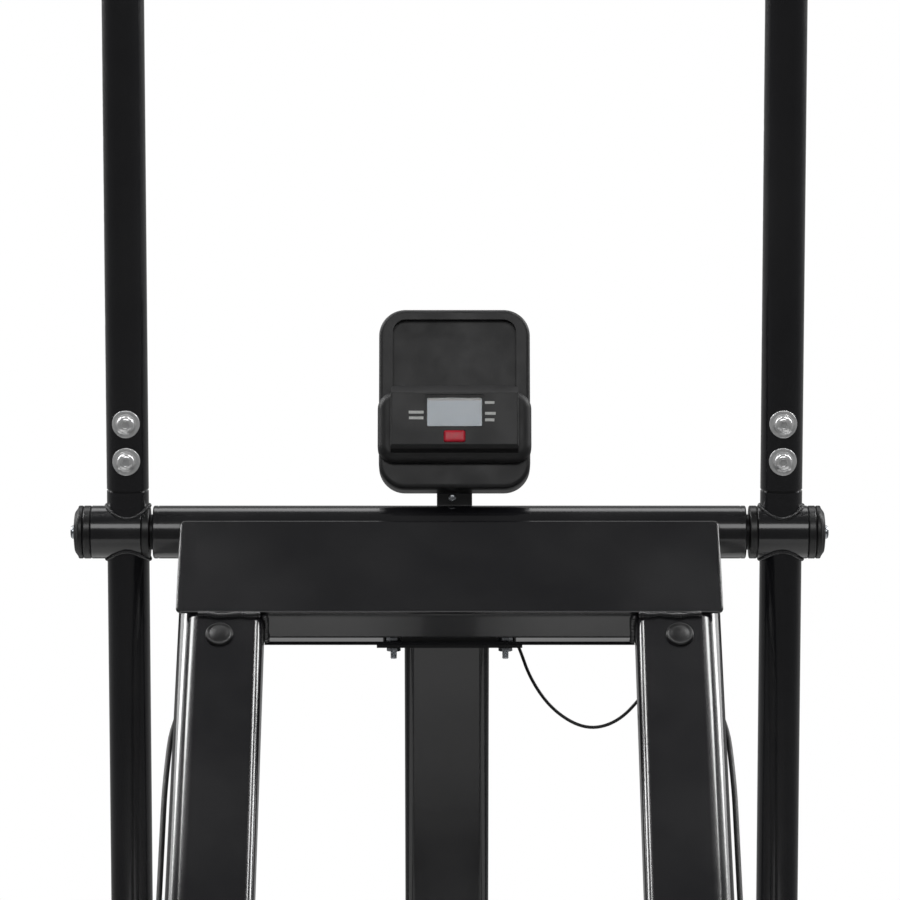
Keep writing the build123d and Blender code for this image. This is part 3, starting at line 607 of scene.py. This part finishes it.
# %% [markdown]
# ## Handle bolts
# Each handle is clamped over its stub by two chrome button-head bolts. A pressed saddle
# washer spreads the load: it is a disc bent to the tube, so its outline is a circle from the
# front while its rim dips round the sides. The head is a low dome with a hexagon socket, and
# a domed nut closes the back. The disc is made flat, then each point moves onto the tube.

# %% Saddle washers, heads and nuts
arm_radius = 19.0
bolt_heights = (67.0, 101.0)


def saddle_washer(bm, place, face, outer=12.5, bore=4.2, gauge=2.0):
    """A disc with rounded rims, wrapped round the tube on the face of sign -1 or 1."""
    rows = eased([(bore, 0), (outer, 0), (outer, gauge), (bore, gauge)], 0.7, looped=True)
    rings = []
    for radius, lift in rows:
        ring = []
        for k in range(64):
            turn = 2 * math.pi * k / 64
            x, z = radius * math.cos(turn), radius * math.sin(turn)
            ring.append((x, face * math.sqrt((arm_radius + 0.05 + lift) ** 2 - x * x), z))
        rings.append(ring)
    stack_rings(bm, place, rings, looped=True)


button_head = [
    (4.0, -18.0), (4.0, 1.5), (9.4, 1.5), (9.6, 2.1), (8.2, 3.4), (7.9, 3.6), (7.8, 4.3),
    (7.5, 5.2), (6.7, 6.2), (5.4, 6.9), (4.0, 7.2), (3.3, 7.2), (2.9, 7.0, 6), (2.9, 4.2, 6),
]
dome_nut = [
    (4.0, 0), (4.0, 2.2), (6.9, 2.1), (7.4, 2.7, 6), (7.4, 6.8, 6), (6.9, 7.3), (6.2, 7.5),
    (6.0, 8.6), (5.0, 10.0), (3.0, 10.6), (0.6, 10.8),
]
facing_away = facing_user() @ Matrix.Rotation(math.pi, 4, "X")
for side in sides:
    bm = bmesh.new()
    for height in bolt_heights:
        here = arm_frames[side] @ shift(0, 0, height)
        for face in (-1, 1):
            saddle_washer(bm, here, face)
        turned(bm, here @ shift(0, -arm_radius, 0) @ facing_user(), button_head, 48)
        turned(bm, here @ shift(0, arm_radius, 0) @ facing_away, dome_nut, 48)
    add_piece(f"clamp_bolts_{side}", close_mesh(bm, f"clamp_bolts_{side}", 34), chrome_painted_highlight,
              f"arm_{side}", f"handle_bolts_{side}")
print("handle bolts at", bolt_heights, "mm above the axle")

# %% [markdown]
# ## Weld beads
# The frame is arc welded. A bead is a row of overlapping ripples, one for each pause of the
# torch, and the coat runs over them so that they glint; the weld finish adds painted glints in
# a lighter base. Geometry Nodes are made for this: the path is divided into equal steps, and a
# small squashed ball, turned along the path, stands at each step with a slightly different
# size. The paths are the joints' own outlines.

# %% Trees with named inputs
def new_tree(name, **inputs):
    """A Geometry Nodes tree with geometry in and out, and a named input for each size."""
    tree = bpy.data.node_groups.new(name, "GeometryNodeTree")
    tree.is_modifier = True
    tree.interface.new_socket("Geometry", in_out="INPUT", socket_type="NodeSocketGeometry")
    tree.interface.new_socket("Geometry", in_out="OUTPUT", socket_type="NodeSocketGeometry")
    for label, kind in inputs.items():
        tree.interface.new_socket(label.replace("_", " "), in_out="INPUT",
                                  socket_type=f"NodeSocket{kind}")
    return tree


def end_tree(tree, instances, finish, smooth=False):
    """Every tree ends the same way: the instances made real, then their finish."""
    shape = add_node(tree, "GeometryNodeRealizeInstances", {"Geometry": instances})
    if smooth:
        shape = add_node(tree, "GeometryNodeSetShadeSmooth", {"Geometry": shape.outputs[0]})
    coated = add_node(tree, "GeometryNodeSetMaterial",
                      {"Geometry": shape.outputs[0], "Material": finish})
    add_node(tree, "NodeGroupOutput", {"Geometry": coated.outputs[0]})


def grow(name, tree, start, place=None, **values):
    """Runs a tree on a start mesh and returns the plain mesh that it makes."""
    carrier = bpy.data.objects.new(f"{name}_start", start)
    bpy.context.scene.collection.objects.link(carrier)
    modifier = carrier.modifiers.new("grow", "NODES")
    modifier.node_group = tree
    for socket in tree.interface.items_tree:
        key = socket.name.replace(" ", "_")
        if socket.in_out == "INPUT" and key in values:
            modifier[socket.identifier] = values[key]
    graph = bpy.context.evaluated_depsgraph_get()
    mesh = bpy.data.meshes.new_from_object(carrier.evaluated_get(graph), depsgraph=graph)
    mesh.name = name
    bpy.data.objects.remove(carrier)
    if place:
        mesh.transform(place)
    return mesh


print("trees start from a mesh, and end as a mesh")

# %% [markdown]
# The weld tree takes the paths as a mesh of edges. A random scale, from a fixed seed, keeps the
# ripples from looking stamped, and the ball is squashed along the path so that they overlap.

# %% The weld tree
weld_tree = new_tree("weld_bead", Spacing="Float", Bead_Radius="Float", Ball_Detail="Int",
                     Variation="Float", Seed="Int", Finish="Material")
given = add_node(weld_tree, "NodeGroupInput").outputs
path = add_node(weld_tree, "GeometryNodeMeshToCurve", {"Mesh": given["Geometry"]})
steps = add_node(weld_tree, "GeometryNodeResampleCurve",
                 {"Curve": path.outputs[0], "Length": given["Spacing"]}, mode="LENGTH")
ripple = add_node(weld_tree, "GeometryNodeMeshIcoSphere",
                  {"Radius": given["Bead Radius"], "Subdivisions": given["Ball Detail"]})
tangent = add_node(weld_tree, "GeometryNodeInputTangent")
aim = add_node(weld_tree, "FunctionNodeAlignRotationToVector",
               {"Vector": tangent.outputs[0]}, axis="Z")
least = add_node(weld_tree, "ShaderNodeMath", {1: given["Variation"]}, operation="SUBTRACT")
least.inputs[0].default_value = 1.0
most = add_node(weld_tree, "ShaderNodeMath", {1: given["Variation"]}, operation="ADD")
most.inputs[0].default_value = 1.0
size = add_node(weld_tree, "FunctionNodeRandomValue",
                {2: least.outputs[0], 3: most.outputs[0], "Seed": given["Seed"]}, data_type="FLOAT")
squash = add_node(weld_tree, "ShaderNodeMath", {0: size.outputs[1]}, operation="MULTIPLY")
squash.inputs[1].default_value = 0.6
stretch = add_node(weld_tree, "ShaderNodeCombineXYZ",
                   {"X": size.outputs[1], "Y": size.outputs[1], "Z": squash.outputs[0]})
beads = add_node(weld_tree, "GeometryNodeInstanceOnPoints", {
    "Points": steps.outputs[0], "Instance": ripple.outputs[0],
    "Rotation": aim.outputs[0], "Scale": stretch.outputs[0]})
end_tree(weld_tree, beads.outputs[0], given["Finish"], smooth=True)
print("weld tree has", len(weld_tree.nodes), "nodes")


# %% [markdown]
# Each weld runs where two tubes meet: round the feet of the rails and the post, along the
# cross tube and the plate, round the axle, and on the arms and foot bars. The two runs under
# the plate were filled by hand, so they are thicker and less even.

# %% Helpers for weld paths
def arc(radius, start, end, count=24):
    """Points (cos, sin) along part of a circle, in degrees."""
    turns = [math.radians(start + (end - start) * k / count) for k in range(count + 1)]
    return [(radius * math.cos(turn), radius * math.sin(turn)) for turn in turns]


def placed(place, points):
    return [place @ (Vector(point) * mm) for point in points]


def outline(x, y, half_x, half_y, z):
    """A closed rectangular path round a tube that stands on a base."""
    corners = [(-1, -1), (1, -1), (1, 1), (-1, 1), (-1, -1)]
    return [(x + half_x * cx, y + half_y * cy, z) for cx, cy in corners]


print("a quarter circle of 10 mm ends at", arc(10, 0, 90)[-1])

# %% Weld paths
world_place = Matrix.Identity(4)
front_y, rear_y = -500.4, 537.5               # the middles of the two base tubes
base_top = 65.0
plate_lip = ((169, 1.6), (178, 2.6), (186, 1.4), (197, 2.8), (206, 3.2), (212, 1.5), (221, 1.2))
cross_tube_end = ((163.8, -22), (162.6, -12), (163.9, 0), (163.2, 13))
welds = {"frame": []}
heavy_welds = []
for sign in sides.values():
    lip = [(sign * x, rail_face - 1.0, plate_low - z) for x, z in plate_lip]
    tube_end = [(sign * x, y, plate_low - 1.4) for x, y in cross_tube_end]
    heavy_welds += [placed(rail_frame, lip), placed(rail_frame, tube_end)]
    for x in (164.6, 241.2):
        saddle = [(sign * x, y, z) for y, z in arc(24.6, 210, 315)]
        welds["frame"].append(placed(rail_frame, saddle))
    rail_foot = outline(sign * rail_x, front_y, 38, 27.4, base_top + 0.6)
    welds["frame"].append(placed(world_place, rail_foot))
post_foot = outline(-2.5, rear_y, 38, 22, base_top + 0.6)
welds["frame"].append(placed(world_place, post_foot))
for y in (front_y + 30.6, rear_y - 30.6):
    beam = [(-30.5, y, 22), (-30.5, y, 60.5), (30.5, y, 60.5), (30.5, y, 22)]
    welds["frame"].append(placed(world_place, beam))
bar_reach = {}
for side, sign in sides.items():
    pivot, roller = joint_place(f"{side}_foot_pivot"), joint_place(f"{side}_roller_spin")
    bar_reach[side] = (pivot - roller).yz.length / mm
    ring = arc(19.4, 0, 360, 60)
    neck = [(x, y, math.sqrt(24.4 ** 2 - y * y)) for x, y in ring]
    welds[f"arm_{side}"] = [placed(arm_frames[side], neck),
                            placed(arm_frames[side], [(x, y, -z) for x, y, z in neck]),
                            placed(arm_frames[side], [(x, y, -571.4) for x, y in ring])]
    welds[f"foot_{side}"] = []
    for y in (-60, -200):
        strut = [(y - 12.8, 35), (y - 12.8, 10.6), (y + 12.8, 10.6), (y + 12.8, 35)]
        on_flank = [(-sign * 12.9, v, z) for v, z in strut]
        welds[f"foot_{side}"].append(placed(bar_frames[side], on_flank))
    for x in (-12.6, 12.6):
        knuckle = [(x, bar_reach[side] + v, z) for v, z in arc(15.4, 115, 245)]
        welds[f"foot_{side}"].append(placed(bar_frames[side], knuckle))
print("weld paths", {body: len(paths) for body, paths in welds.items()})


# %% Lay the beads
def lay_beads(name, body, paths, radius, seed):
    """Beads of one thickness along all of a body's paths."""
    verts, edges = [], []
    for points in paths:
        edges += [(len(verts) + k, len(verts) + k + 1) for k in range(len(points) - 1)]
        verts += points
    start = bpy.data.meshes.new("weld_paths")
    start.from_pydata(verts, edges, [])
    mesh = grow(name, weld_tree, start, Spacing=0.75 * radius * mm, Bead_Radius=radius * mm,
                Ball_Detail=3 if radius > 2.5 else 2, Variation=0.05 * radius, Seed=seed,
                Finish=weld_coat_painted_glints)
    add_piece(name, mesh, None, body)
    print(name, len(paths), "welds,", len(mesh.polygons), "faces")


thin_bead, heavy_bead = 1.9, 3.1
for seed, (body, paths) in enumerate(welds.items(), start=3):
    lay_beads(f"weld_beads_{body}", body, paths, thin_bead, seed)
lay_beads("plate_weld_beads", "frame", heavy_welds, heavy_bead, seed=11)

# %% [markdown]
# ## Console details
# The display is a grey-blue liquid crystal panel under its window, with a dark strip along
# its top that is painted shadow of the window frame. Beside it are small pad-printed legends,
# here plain bars with no lettering. A slotted screw holds the neck strap over the axle tube.

# %% Console details
console_frame = upright_frame(axle + Vector((4.5, -8, 38)) * mm, console_up)


def small_slab(bm, place, x, z, width, height, front, back, corner=0.3):
    """A small flat slab that faces the user, with eased front edges."""
    depth = back - front
    here = place @ shift(x, back, z) @ facing_user()
    rows = [(0, 0), (0, depth * 0.7), (depth * 0.3, depth)]
    pressed(bm, here, width, height, corner, rows, steps=2)


legend_bars = (                # across, up, width and height of each bar
    (-34.5, 64.7, 13.5, 2.6), (-34.5, 59.4, 13.0, 2.6), (31.6, 73.6, 8.6, 2.4),
    (32.2, 63.6, 9.6, 2.6), (31.6, 57.6, 8.4, 2.6))
bm = bmesh.new()
for x, z, width, height in legend_bars:
    small_slab(bm, console_frame, x, z, width, height, -34.06, -33.96)
add_piece("printed_legend_bars", close_mesh(bm, "printed_legend_bars"), print_white, "frame")
# A dark slab along the display's top paints the shadow that the window frame casts.
bm = bmesh.new()
small_slab(bm, console_frame, 0, 77.2, 48.4, 2.6, -31.75, -31.62)
add_piece("polariser_strip", close_mesh(bm, "polariser_strip"), smooth_abs, "frame")
bm = bmesh.new()
neck_place = Matrix.Translation(axle) @ shift(2.5, -2.6, 31) @ facing_user()
neck_screw = [(1.6, -3), (3.4, 0), (3.4, 1.2), (2.2, 2.0), (0.3, 2.1)]
turned(bm, neck_place, eased(neck_screw, 0.6), 32)
add_piece("neck_screw", close_mesh(bm, "neck_screw"), bright_zinc, "frame")
print("legend bars", len(legend_bars))

# %% [markdown]
# The red key is a moulded cap with a crowned face and a soft edge all round. It is made as a
# stack of rounded rectangles, each a little smaller and a little prouder than the last.

# %% Red key
bm = bmesh.new()
key_place = console_frame @ shift(0, -34, 42.6) @ facing_user()
key_rows = [(-2.0, -4.0), (-2.0, -2.6), (0, -2.5), (0, 0.6), (0.2, 1.1), (0.7, 1.4),
            (2.4, 1.55), (4.6, 1.6)]
pressed(bm, key_place, 19.0, 10.4, 1.6, key_rows)
add_piece("red_key_cap", close_mesh(bm, "red_key_cap", 50), key_red, "mode_key", "mode_button")
print("key crown stands", key_rows[-1][1], "mm proud")

# %% [markdown]
# ## Rollers, wheels and their bearings
# Each rail roller is a nylon hub in a cast urethane tread, on a pressed steel bearing. The
# transport wheels are the same make without bearings. The tread bulges slightly and its
# shoulders are rounded. Both faces of the hub are dished, with radial ribs that a small
# Geometry Nodes tree stands round a circle.

# %% Ribs in a ring
rib_tree = new_tree("ribs_in_a_ring", Count="Int", Ring_Radius="Float", Rib_Size="Vector",
                    Finish="Material")
given = add_node(rib_tree, "NodeGroupInput").outputs
circle = add_node(rib_tree, "GeometryNodeMeshCircle",
                  {"Vertices": given["Count"], "Radius": given["Ring Radius"]})
rib = add_node(rib_tree, "GeometryNodeMeshCube", {"Size": given["Rib Size"]})
outward = add_node(rib_tree, "GeometryNodeInputPosition")
aim = add_node(rib_tree, "FunctionNodeAlignRotationToVector",
               {"Vector": outward.outputs[0]}, axis="X")
around = add_node(rib_tree, "GeometryNodeInstanceOnPoints", {
    "Points": circle.outputs[0], "Instance": rib.outputs[0], "Rotation": aim.outputs[0]})
end_tree(rib_tree, around.outputs[0], given["Finish"])


def join_meshes(name, meshes):
    """One mesh from several that share a finish."""
    bm = bmesh.new()
    for mesh in meshes:
        bm.from_mesh(mesh)
    joined = bpy.data.meshes.new(name)
    bm.to_mesh(joined)
    bm.free()
    joined.materials.append(meshes[0].materials[0])
    return joined


def empty_start():
    """A start for a tree that makes everything itself."""
    return bpy.data.meshes.new("empty_start")


print("rib tree has", len(rib_tree.nodes), "nodes")


# %% Rollers and wheels
def running_wheel(tag, body, node, centres, width, bore, grooved):
    """Treads, hubs, ribs and bearings of one or two wheels that share an axle."""
    treads, hubs, shields, ribs = bmesh.new(), bmesh.new(), bmesh.new(), []
    half = width / 2
    for centre in centres:
        place = Matrix.Translation(centre) @ along_x()
        tread = [(24.0, -half + 0.4), (28.6, -half), (30.0, -half + 1.6), (30.0, half - 1.6),
                 (28.6, half), (24.0, half - 0.4)]
        if grooved:
            tread[3:3] = [(30.0, -3), (28.0, -2.6), (28.0, 2.6), (30.0, 3)]
        turned(treads, place, eased(tread, 0.8, looped=True), 72, looped=True)
        sleeve = [(bore + 4.4, half), (bore + 5.0, half)]
        dish = [(bore + 5.0, half - 3), (22.6, half - 3), (23.0, half - 0.8), (23.98, half - 0.6)]
        rows = [(reach, -height) for reach, height in sleeve + dish] + (sleeve + dish)[::-1]
        turned(hubs, place, rows, 64, looped=True)
        for face in (-1, 1):
            steps_in = [(0, 5), (0, 0.4), (1.4, 0.3), (1.7, 0.8), (3.7, 0.8), (4.3, 0.3), (4.38, 5)]
            shield = [(bore + out, face * (half - deep)) for out, deep in steps_in]
            turned(shields, place, shield, 48, looped=True)
            here = place @ shift(0, 0, face * (half - 2.1))
            ribs.append(grow("hub_ribs", rib_tree, empty_start(), here, Count=8,
                             Ring_Radius=(bore + 5.0 + 22.8) / 2 * mm,
                             Rib_Size=((22.8 - bore - 4.6) * mm, 1.6 * mm, 1.9 * mm),
                             Finish=bush_nylon))
    add_piece(f"{tag}_treads", close_mesh(treads, f"{tag}_treads"), tread_urethane, body, node)
    add_piece(f"{tag}_hubs", close_mesh(hubs, f"{tag}_hubs"), bush_nylon, body)
    add_piece(f"{tag}_bearings", close_mesh(shields, f"{tag}_bearings"), turned_steel, body)
    add_piece(f"{tag}_hub_ribs", join_meshes(f"{tag}_hub_ribs", ribs), None, body)


for side, sign in sides.items():
    roller = joint_place(f"{side}_roller_spin")
    centres = [Vector((sign * x * mm, roller.y, roller.z)) for x in (184, 222)]
    running_wheel(f"rail_roller_{side}", f"rollers_{side}", f"rail_rollers_{side}", centres,
                  width=26, bore=6.1, grooved=False)
    spin = joint_place(f"{side}_wheel_spin")
    low, high = (Vector(corner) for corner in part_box(f"wheel_{side}"))
    running_wheel(f"transport_wheel_{side}", f"wheel_{side}", f"wheel_{side}",
                  [(low + high) / 2], width=22, bore=4.1, grooved=True)
print("wheel centre", (low + high) / 2, "turns about", spin)

# %% [markdown]
# ## Pedals
# Each pedal is a tray moulded from glass-filled nylon, with a raised rolled rim that keeps the
# shoe on. Its floor has rows of small cones for grip, stood on a grid by Geometry Nodes, and
# two stiffening ribs run across it.

# %% The stud tree
stud_tree = new_tree("grip_studs", Width="Float", Length="Float", Columns="Int", Rows="Int",
                     Stud_Radius="Float", Stud_Height="Float", Finish="Material")
given = add_node(stud_tree, "NodeGroupInput").outputs
grid = add_node(stud_tree, "GeometryNodeMeshGrid", {
    "Size X": given["Width"], "Size Y": given["Length"], "Vertices X": given["Columns"],
    "Vertices Y": given["Rows"]})
top = add_node(stud_tree, "ShaderNodeMath", {0: given["Stud Radius"]}, operation="MULTIPLY")
top.inputs[1].default_value = 0.55
stud = add_node(stud_tree, "GeometryNodeMeshCone", {
    "Radius Bottom": given["Stud Radius"], "Radius Top": top.outputs[0],
    "Depth": given["Stud Height"]}, Vertices=12)
studs = add_node(stud_tree, "GeometryNodeInstanceOnPoints",
                 {"Points": grid.outputs[0], "Instance": stud.outputs[0]})
end_tree(stud_tree, studs.outputs[0], given["Finish"])
print("stud tree has", len(stud_tree.nodes), "nodes")

# %% Pedal trays and studs
for side, sign in sides.items():
    pivot_x = joint_place(f"{side}_foot_pivot").x / mm
    width = abs(pivot_x) + 12.5 - 150
    tray_place = bar_frames[side] @ shift(sign * (150 + width / 2) - pivot_x, -102, 36)
    rows = eased([(6, 0), (0, 0), (0, 20), (4.2, 20), (4.8, 6.2), (12, 6)], 1.6, steps=4)
    bm = bmesh.new()
    pressed(bm, tray_place, width, 290, 20, [(8, 0), *rows], steps=10)
    for y in (-50, 50):
        here = tray_place @ shift(0, y, 5.9)
        pressed(bm, here, width - 24, 4, 1.8, [(0, 0), (0, 1.6), (0.6, 2.4), (1.4, 2.6)], steps=4)
    add_piece(f"pedal_tray_{side}", close_mesh(bm, f"pedal_tray_{side}", 50), pedal_nylon,
              f"foot_{side}", f"foot_pedal_{side}")
    fields = []
    for y in (-95, 0, 95):
        here = tray_place @ shift(0, y, 7.0)
        fields.append(grow("studs", stud_tree, empty_start(), here, Width=(width - 36) * mm,
                           Length=70 * mm, Columns=10, Rows=7, Stud_Radius=2.6 * mm,
                           Stud_Height=2.0 * mm, Finish=pedal_nylon))
    studs = join_meshes(f"pedal_studs_{side}", fields)
    add_piece(f"pedal_studs_{side}", studs, None, f"foot_{side}")
print("pedal width", round(width, 1))

# %% [markdown]
# ## Handle grips and end caps
# The foam grips are tubes of closed-cell foam pushed over the handles. Foam springs back, so
# its ends roll in softly and its middle swells a little. The handle's open end has a
# moulded cap with a parting groove.

# %% Grips and caps at the bent ends
bend, bend_radius = math.radians(35), 70
bend_rise = bend_radius * math.tan(bend / 2)
straight_rise, bent_reach = 560, 150          # the handle's straight and bent lengths
tip_reach = bent_reach + bend_rise
foam = []
for k in range(27):
    along = -132 + 5 * k
    swell = 0.35 * math.sin(math.pi * k / 26)
    foam.append((22.1 + swell, along))
foam = [(19.1, -131.2), (20.2, -132.0), (21.4, -131.6), *foam[1:-1], (21.4, -2.4), (20.2, -2.0),
        (19.1, -2.8)]
cap_rows = [(16.8, -16), (16.8, -0.1), (21.4, 0), (22.0, 0.5), (22.0, 2.2), (21.3, 2.5),
            (21.3, 2.9), (21.9, 3.2), (21.2, 4.6), (19.4, 5.9), (16, 6.6), (9, 6.95), (0.4, 7.0)]
tip_forward = tip_reach * math.sin(bend)
tip_height = straight_rise + bend_rise + tip_reach * math.cos(bend)
for side in sides:
    tip = arm_frames[side] @ shift(0, -tip_forward, tip_height) @ Matrix.Rotation(bend, 4, "X")
    bm = bmesh.new()
    turned(bm, tip, foam, 64, looped=True)
    grip = add_piece(f"foam_grip_{side}", close_mesh(bm, f"foam_grip_{side}", 60), grip_foam,
                     f"arm_{side}", f"handle_grip_{side}")
    bm = bmesh.new()
    turned(bm, tip, cap_rows, 64)
    add_piece(f"handle_end_cap_{side}", close_mesh(bm, f"handle_end_cap_{side}", 50), moulded_pe,
              f"arm_{side}", f"handle_cap_{side}")
print("handle tips stand", round(tip_height), "mm above the axle, along the arm")

# %% [markdown]
# ## End caps
# Pushed-in plastic caps close the base tubes and the foot bars. Each has a broad rounded rim
# and a slightly sunk middle. The rows go from the plug inside the tube out to that middle.

# %% Base and bar end caps
bm = bmesh.new()
base_cap = [(3.4, -14), (2.8, -0.2), (0.1, 0), (0, 0.6), (0, 2.4), (0.5, 3.4), (1.6, 4.0),
            (5.0, 4.0), (6.2, 3.2), (14, 3.1)]
bar_cap = [(2.6, -14), (2.1, -0.2), (0.1, 0), (0, 2.6), (0.5, 3.6), (1.6, 4.0), (4, 4.0), (5, 3.4),
           (8, 3.3)]
for y, half in ((front_y, 320), (rear_y, 280)):
    for sign in sides.values():
        place = shift(sign * half, y, 40) @ along_x(sign)
        pressed(bm, place, 50, 60, 6, base_cap)
add_piece("base_tube_caps", close_mesh(bm, "base_tube_caps", 50), moulded_pe,
          "frame", "base_end_caps")
for side in sides:
    bm = bmesh.new()
    place = bar_frames[side] @ shift(0, -256, 0) @ facing_user()
    pressed(bm, place, 25, 50, 4, bar_cap)
    add_piece(f"foot_bar_end_{side}", close_mesh(bm, f"foot_bar_end_{side}", 50), moulded_pe,
              f"foot_{side}", f"foot_bar_cap_{side}")
print("caps stand", base_cap[7][1], "mm past their tubes")

# %% [markdown]
# ## Levelling feet
# The machine stands on four rubber pads on threaded stems, which are screwed in or out until
# it stops rocking. Fingers turn them by ribs on the edge, which the ribs' tree stands round
# each pad.

# %% Levelling feet
bm = bmesh.new()
foot_rows = [(21.5, 0), (23.2, 0.4), (23.6, 1.6), (23.4, 6.8), (22.4, 8.4), (20, 9.0), (13, 9.0),
             (9.4, 9.0), *thread_rows(7.9, 9.3, 14.9, 1.5)]
ribs = []
for y, half in ((front_y, 260), (rear_y, 220)):
    for sign in sides.values():
        place = shift(sign * half, y, 0)
        turned(bm, place, foot_rows, 48)
        ribs.append(grow("foot_ribs", rib_tree, empty_start(), place @ shift(0, 0, 4.2), Count=36,
                         Ring_Radius=23.3 * mm, Rib_Size=(1.2 * mm, 1.4 * mm, 4.8 * mm),
                         Finish=foot_rubber))
add_piece("levelling_foot_pads", close_mesh(bm, "levelling_foot_pads", 40), foot_rubber,
          "frame", "levelling_feet")
add_piece("levelling_foot_ribs", join_meshes("levelling_foot_ribs", ribs), None, "frame")
print("feet", len(ribs))

# %% [markdown]
# ## Sensor lead
# The only free cord is the thin signal lead from the console to the stride sensor. It leaves
# the back of the console, drops behind the cover plate, hangs in one slack loop and climbs
# behind the right rail to the sensor. One smooth spline through few points hangs like a
# limp lead does, and its length stays close to the real 0.57 m.

# %% Sensor lead
lead_points = [
    (4.5, 321.98, 1100.65), (4.5, 339.59, 1096.91), (4.8, 347.04, 1084), (6, 347.54, 1060),
    (9, 345.54, 1034), (14, 343.04, 1006), (22, 340.04, 978), (34, 337.04, 951),
    (49, 334.54, 924), (63, 333.04, 896), (74, 332.04, 864), (95, 331.04, 835),
    (125, 330.04, 818), (154, 328.04, 825), (178, 326.04, 851), (197, 325.04, 881),
    (209, 324.04, 912), (214, 323.04, 940), (216, 322.04, 966), (220, 320.04, 988),
    (229, 319.04, 1000), (240, 319.04, 1000),
]
lead_curve = bpy.data.curves.new("sensor_lead_cord", "CURVE")
lead_curve.dimensions = "3D"
lead_curve.bevel_depth = 1.5 * mm
lead_curve.bevel_resolution = 5
lead_curve.resolution_u = 8
lead_curve.use_fill_caps = True
spline = lead_curve.splines.new("NURBS")
spline.points.add(len(lead_points) - 1)
for point, place in zip(spline.points, lead_points):
    point.co = (*(Vector(place) * mm), 1.0)
spline.order_u = 3
spline.use_endpoint_u = True
lead_curve.materials.append(cable_pvc)
lead = bpy.data.objects.new("sensor_lead_cord", lead_curve)
bpy.context.scene.collection.objects.link(lead)
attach(lead, "frame")
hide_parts("sensor_lead")
print("sensor lead runs through", len(lead_points), "points")
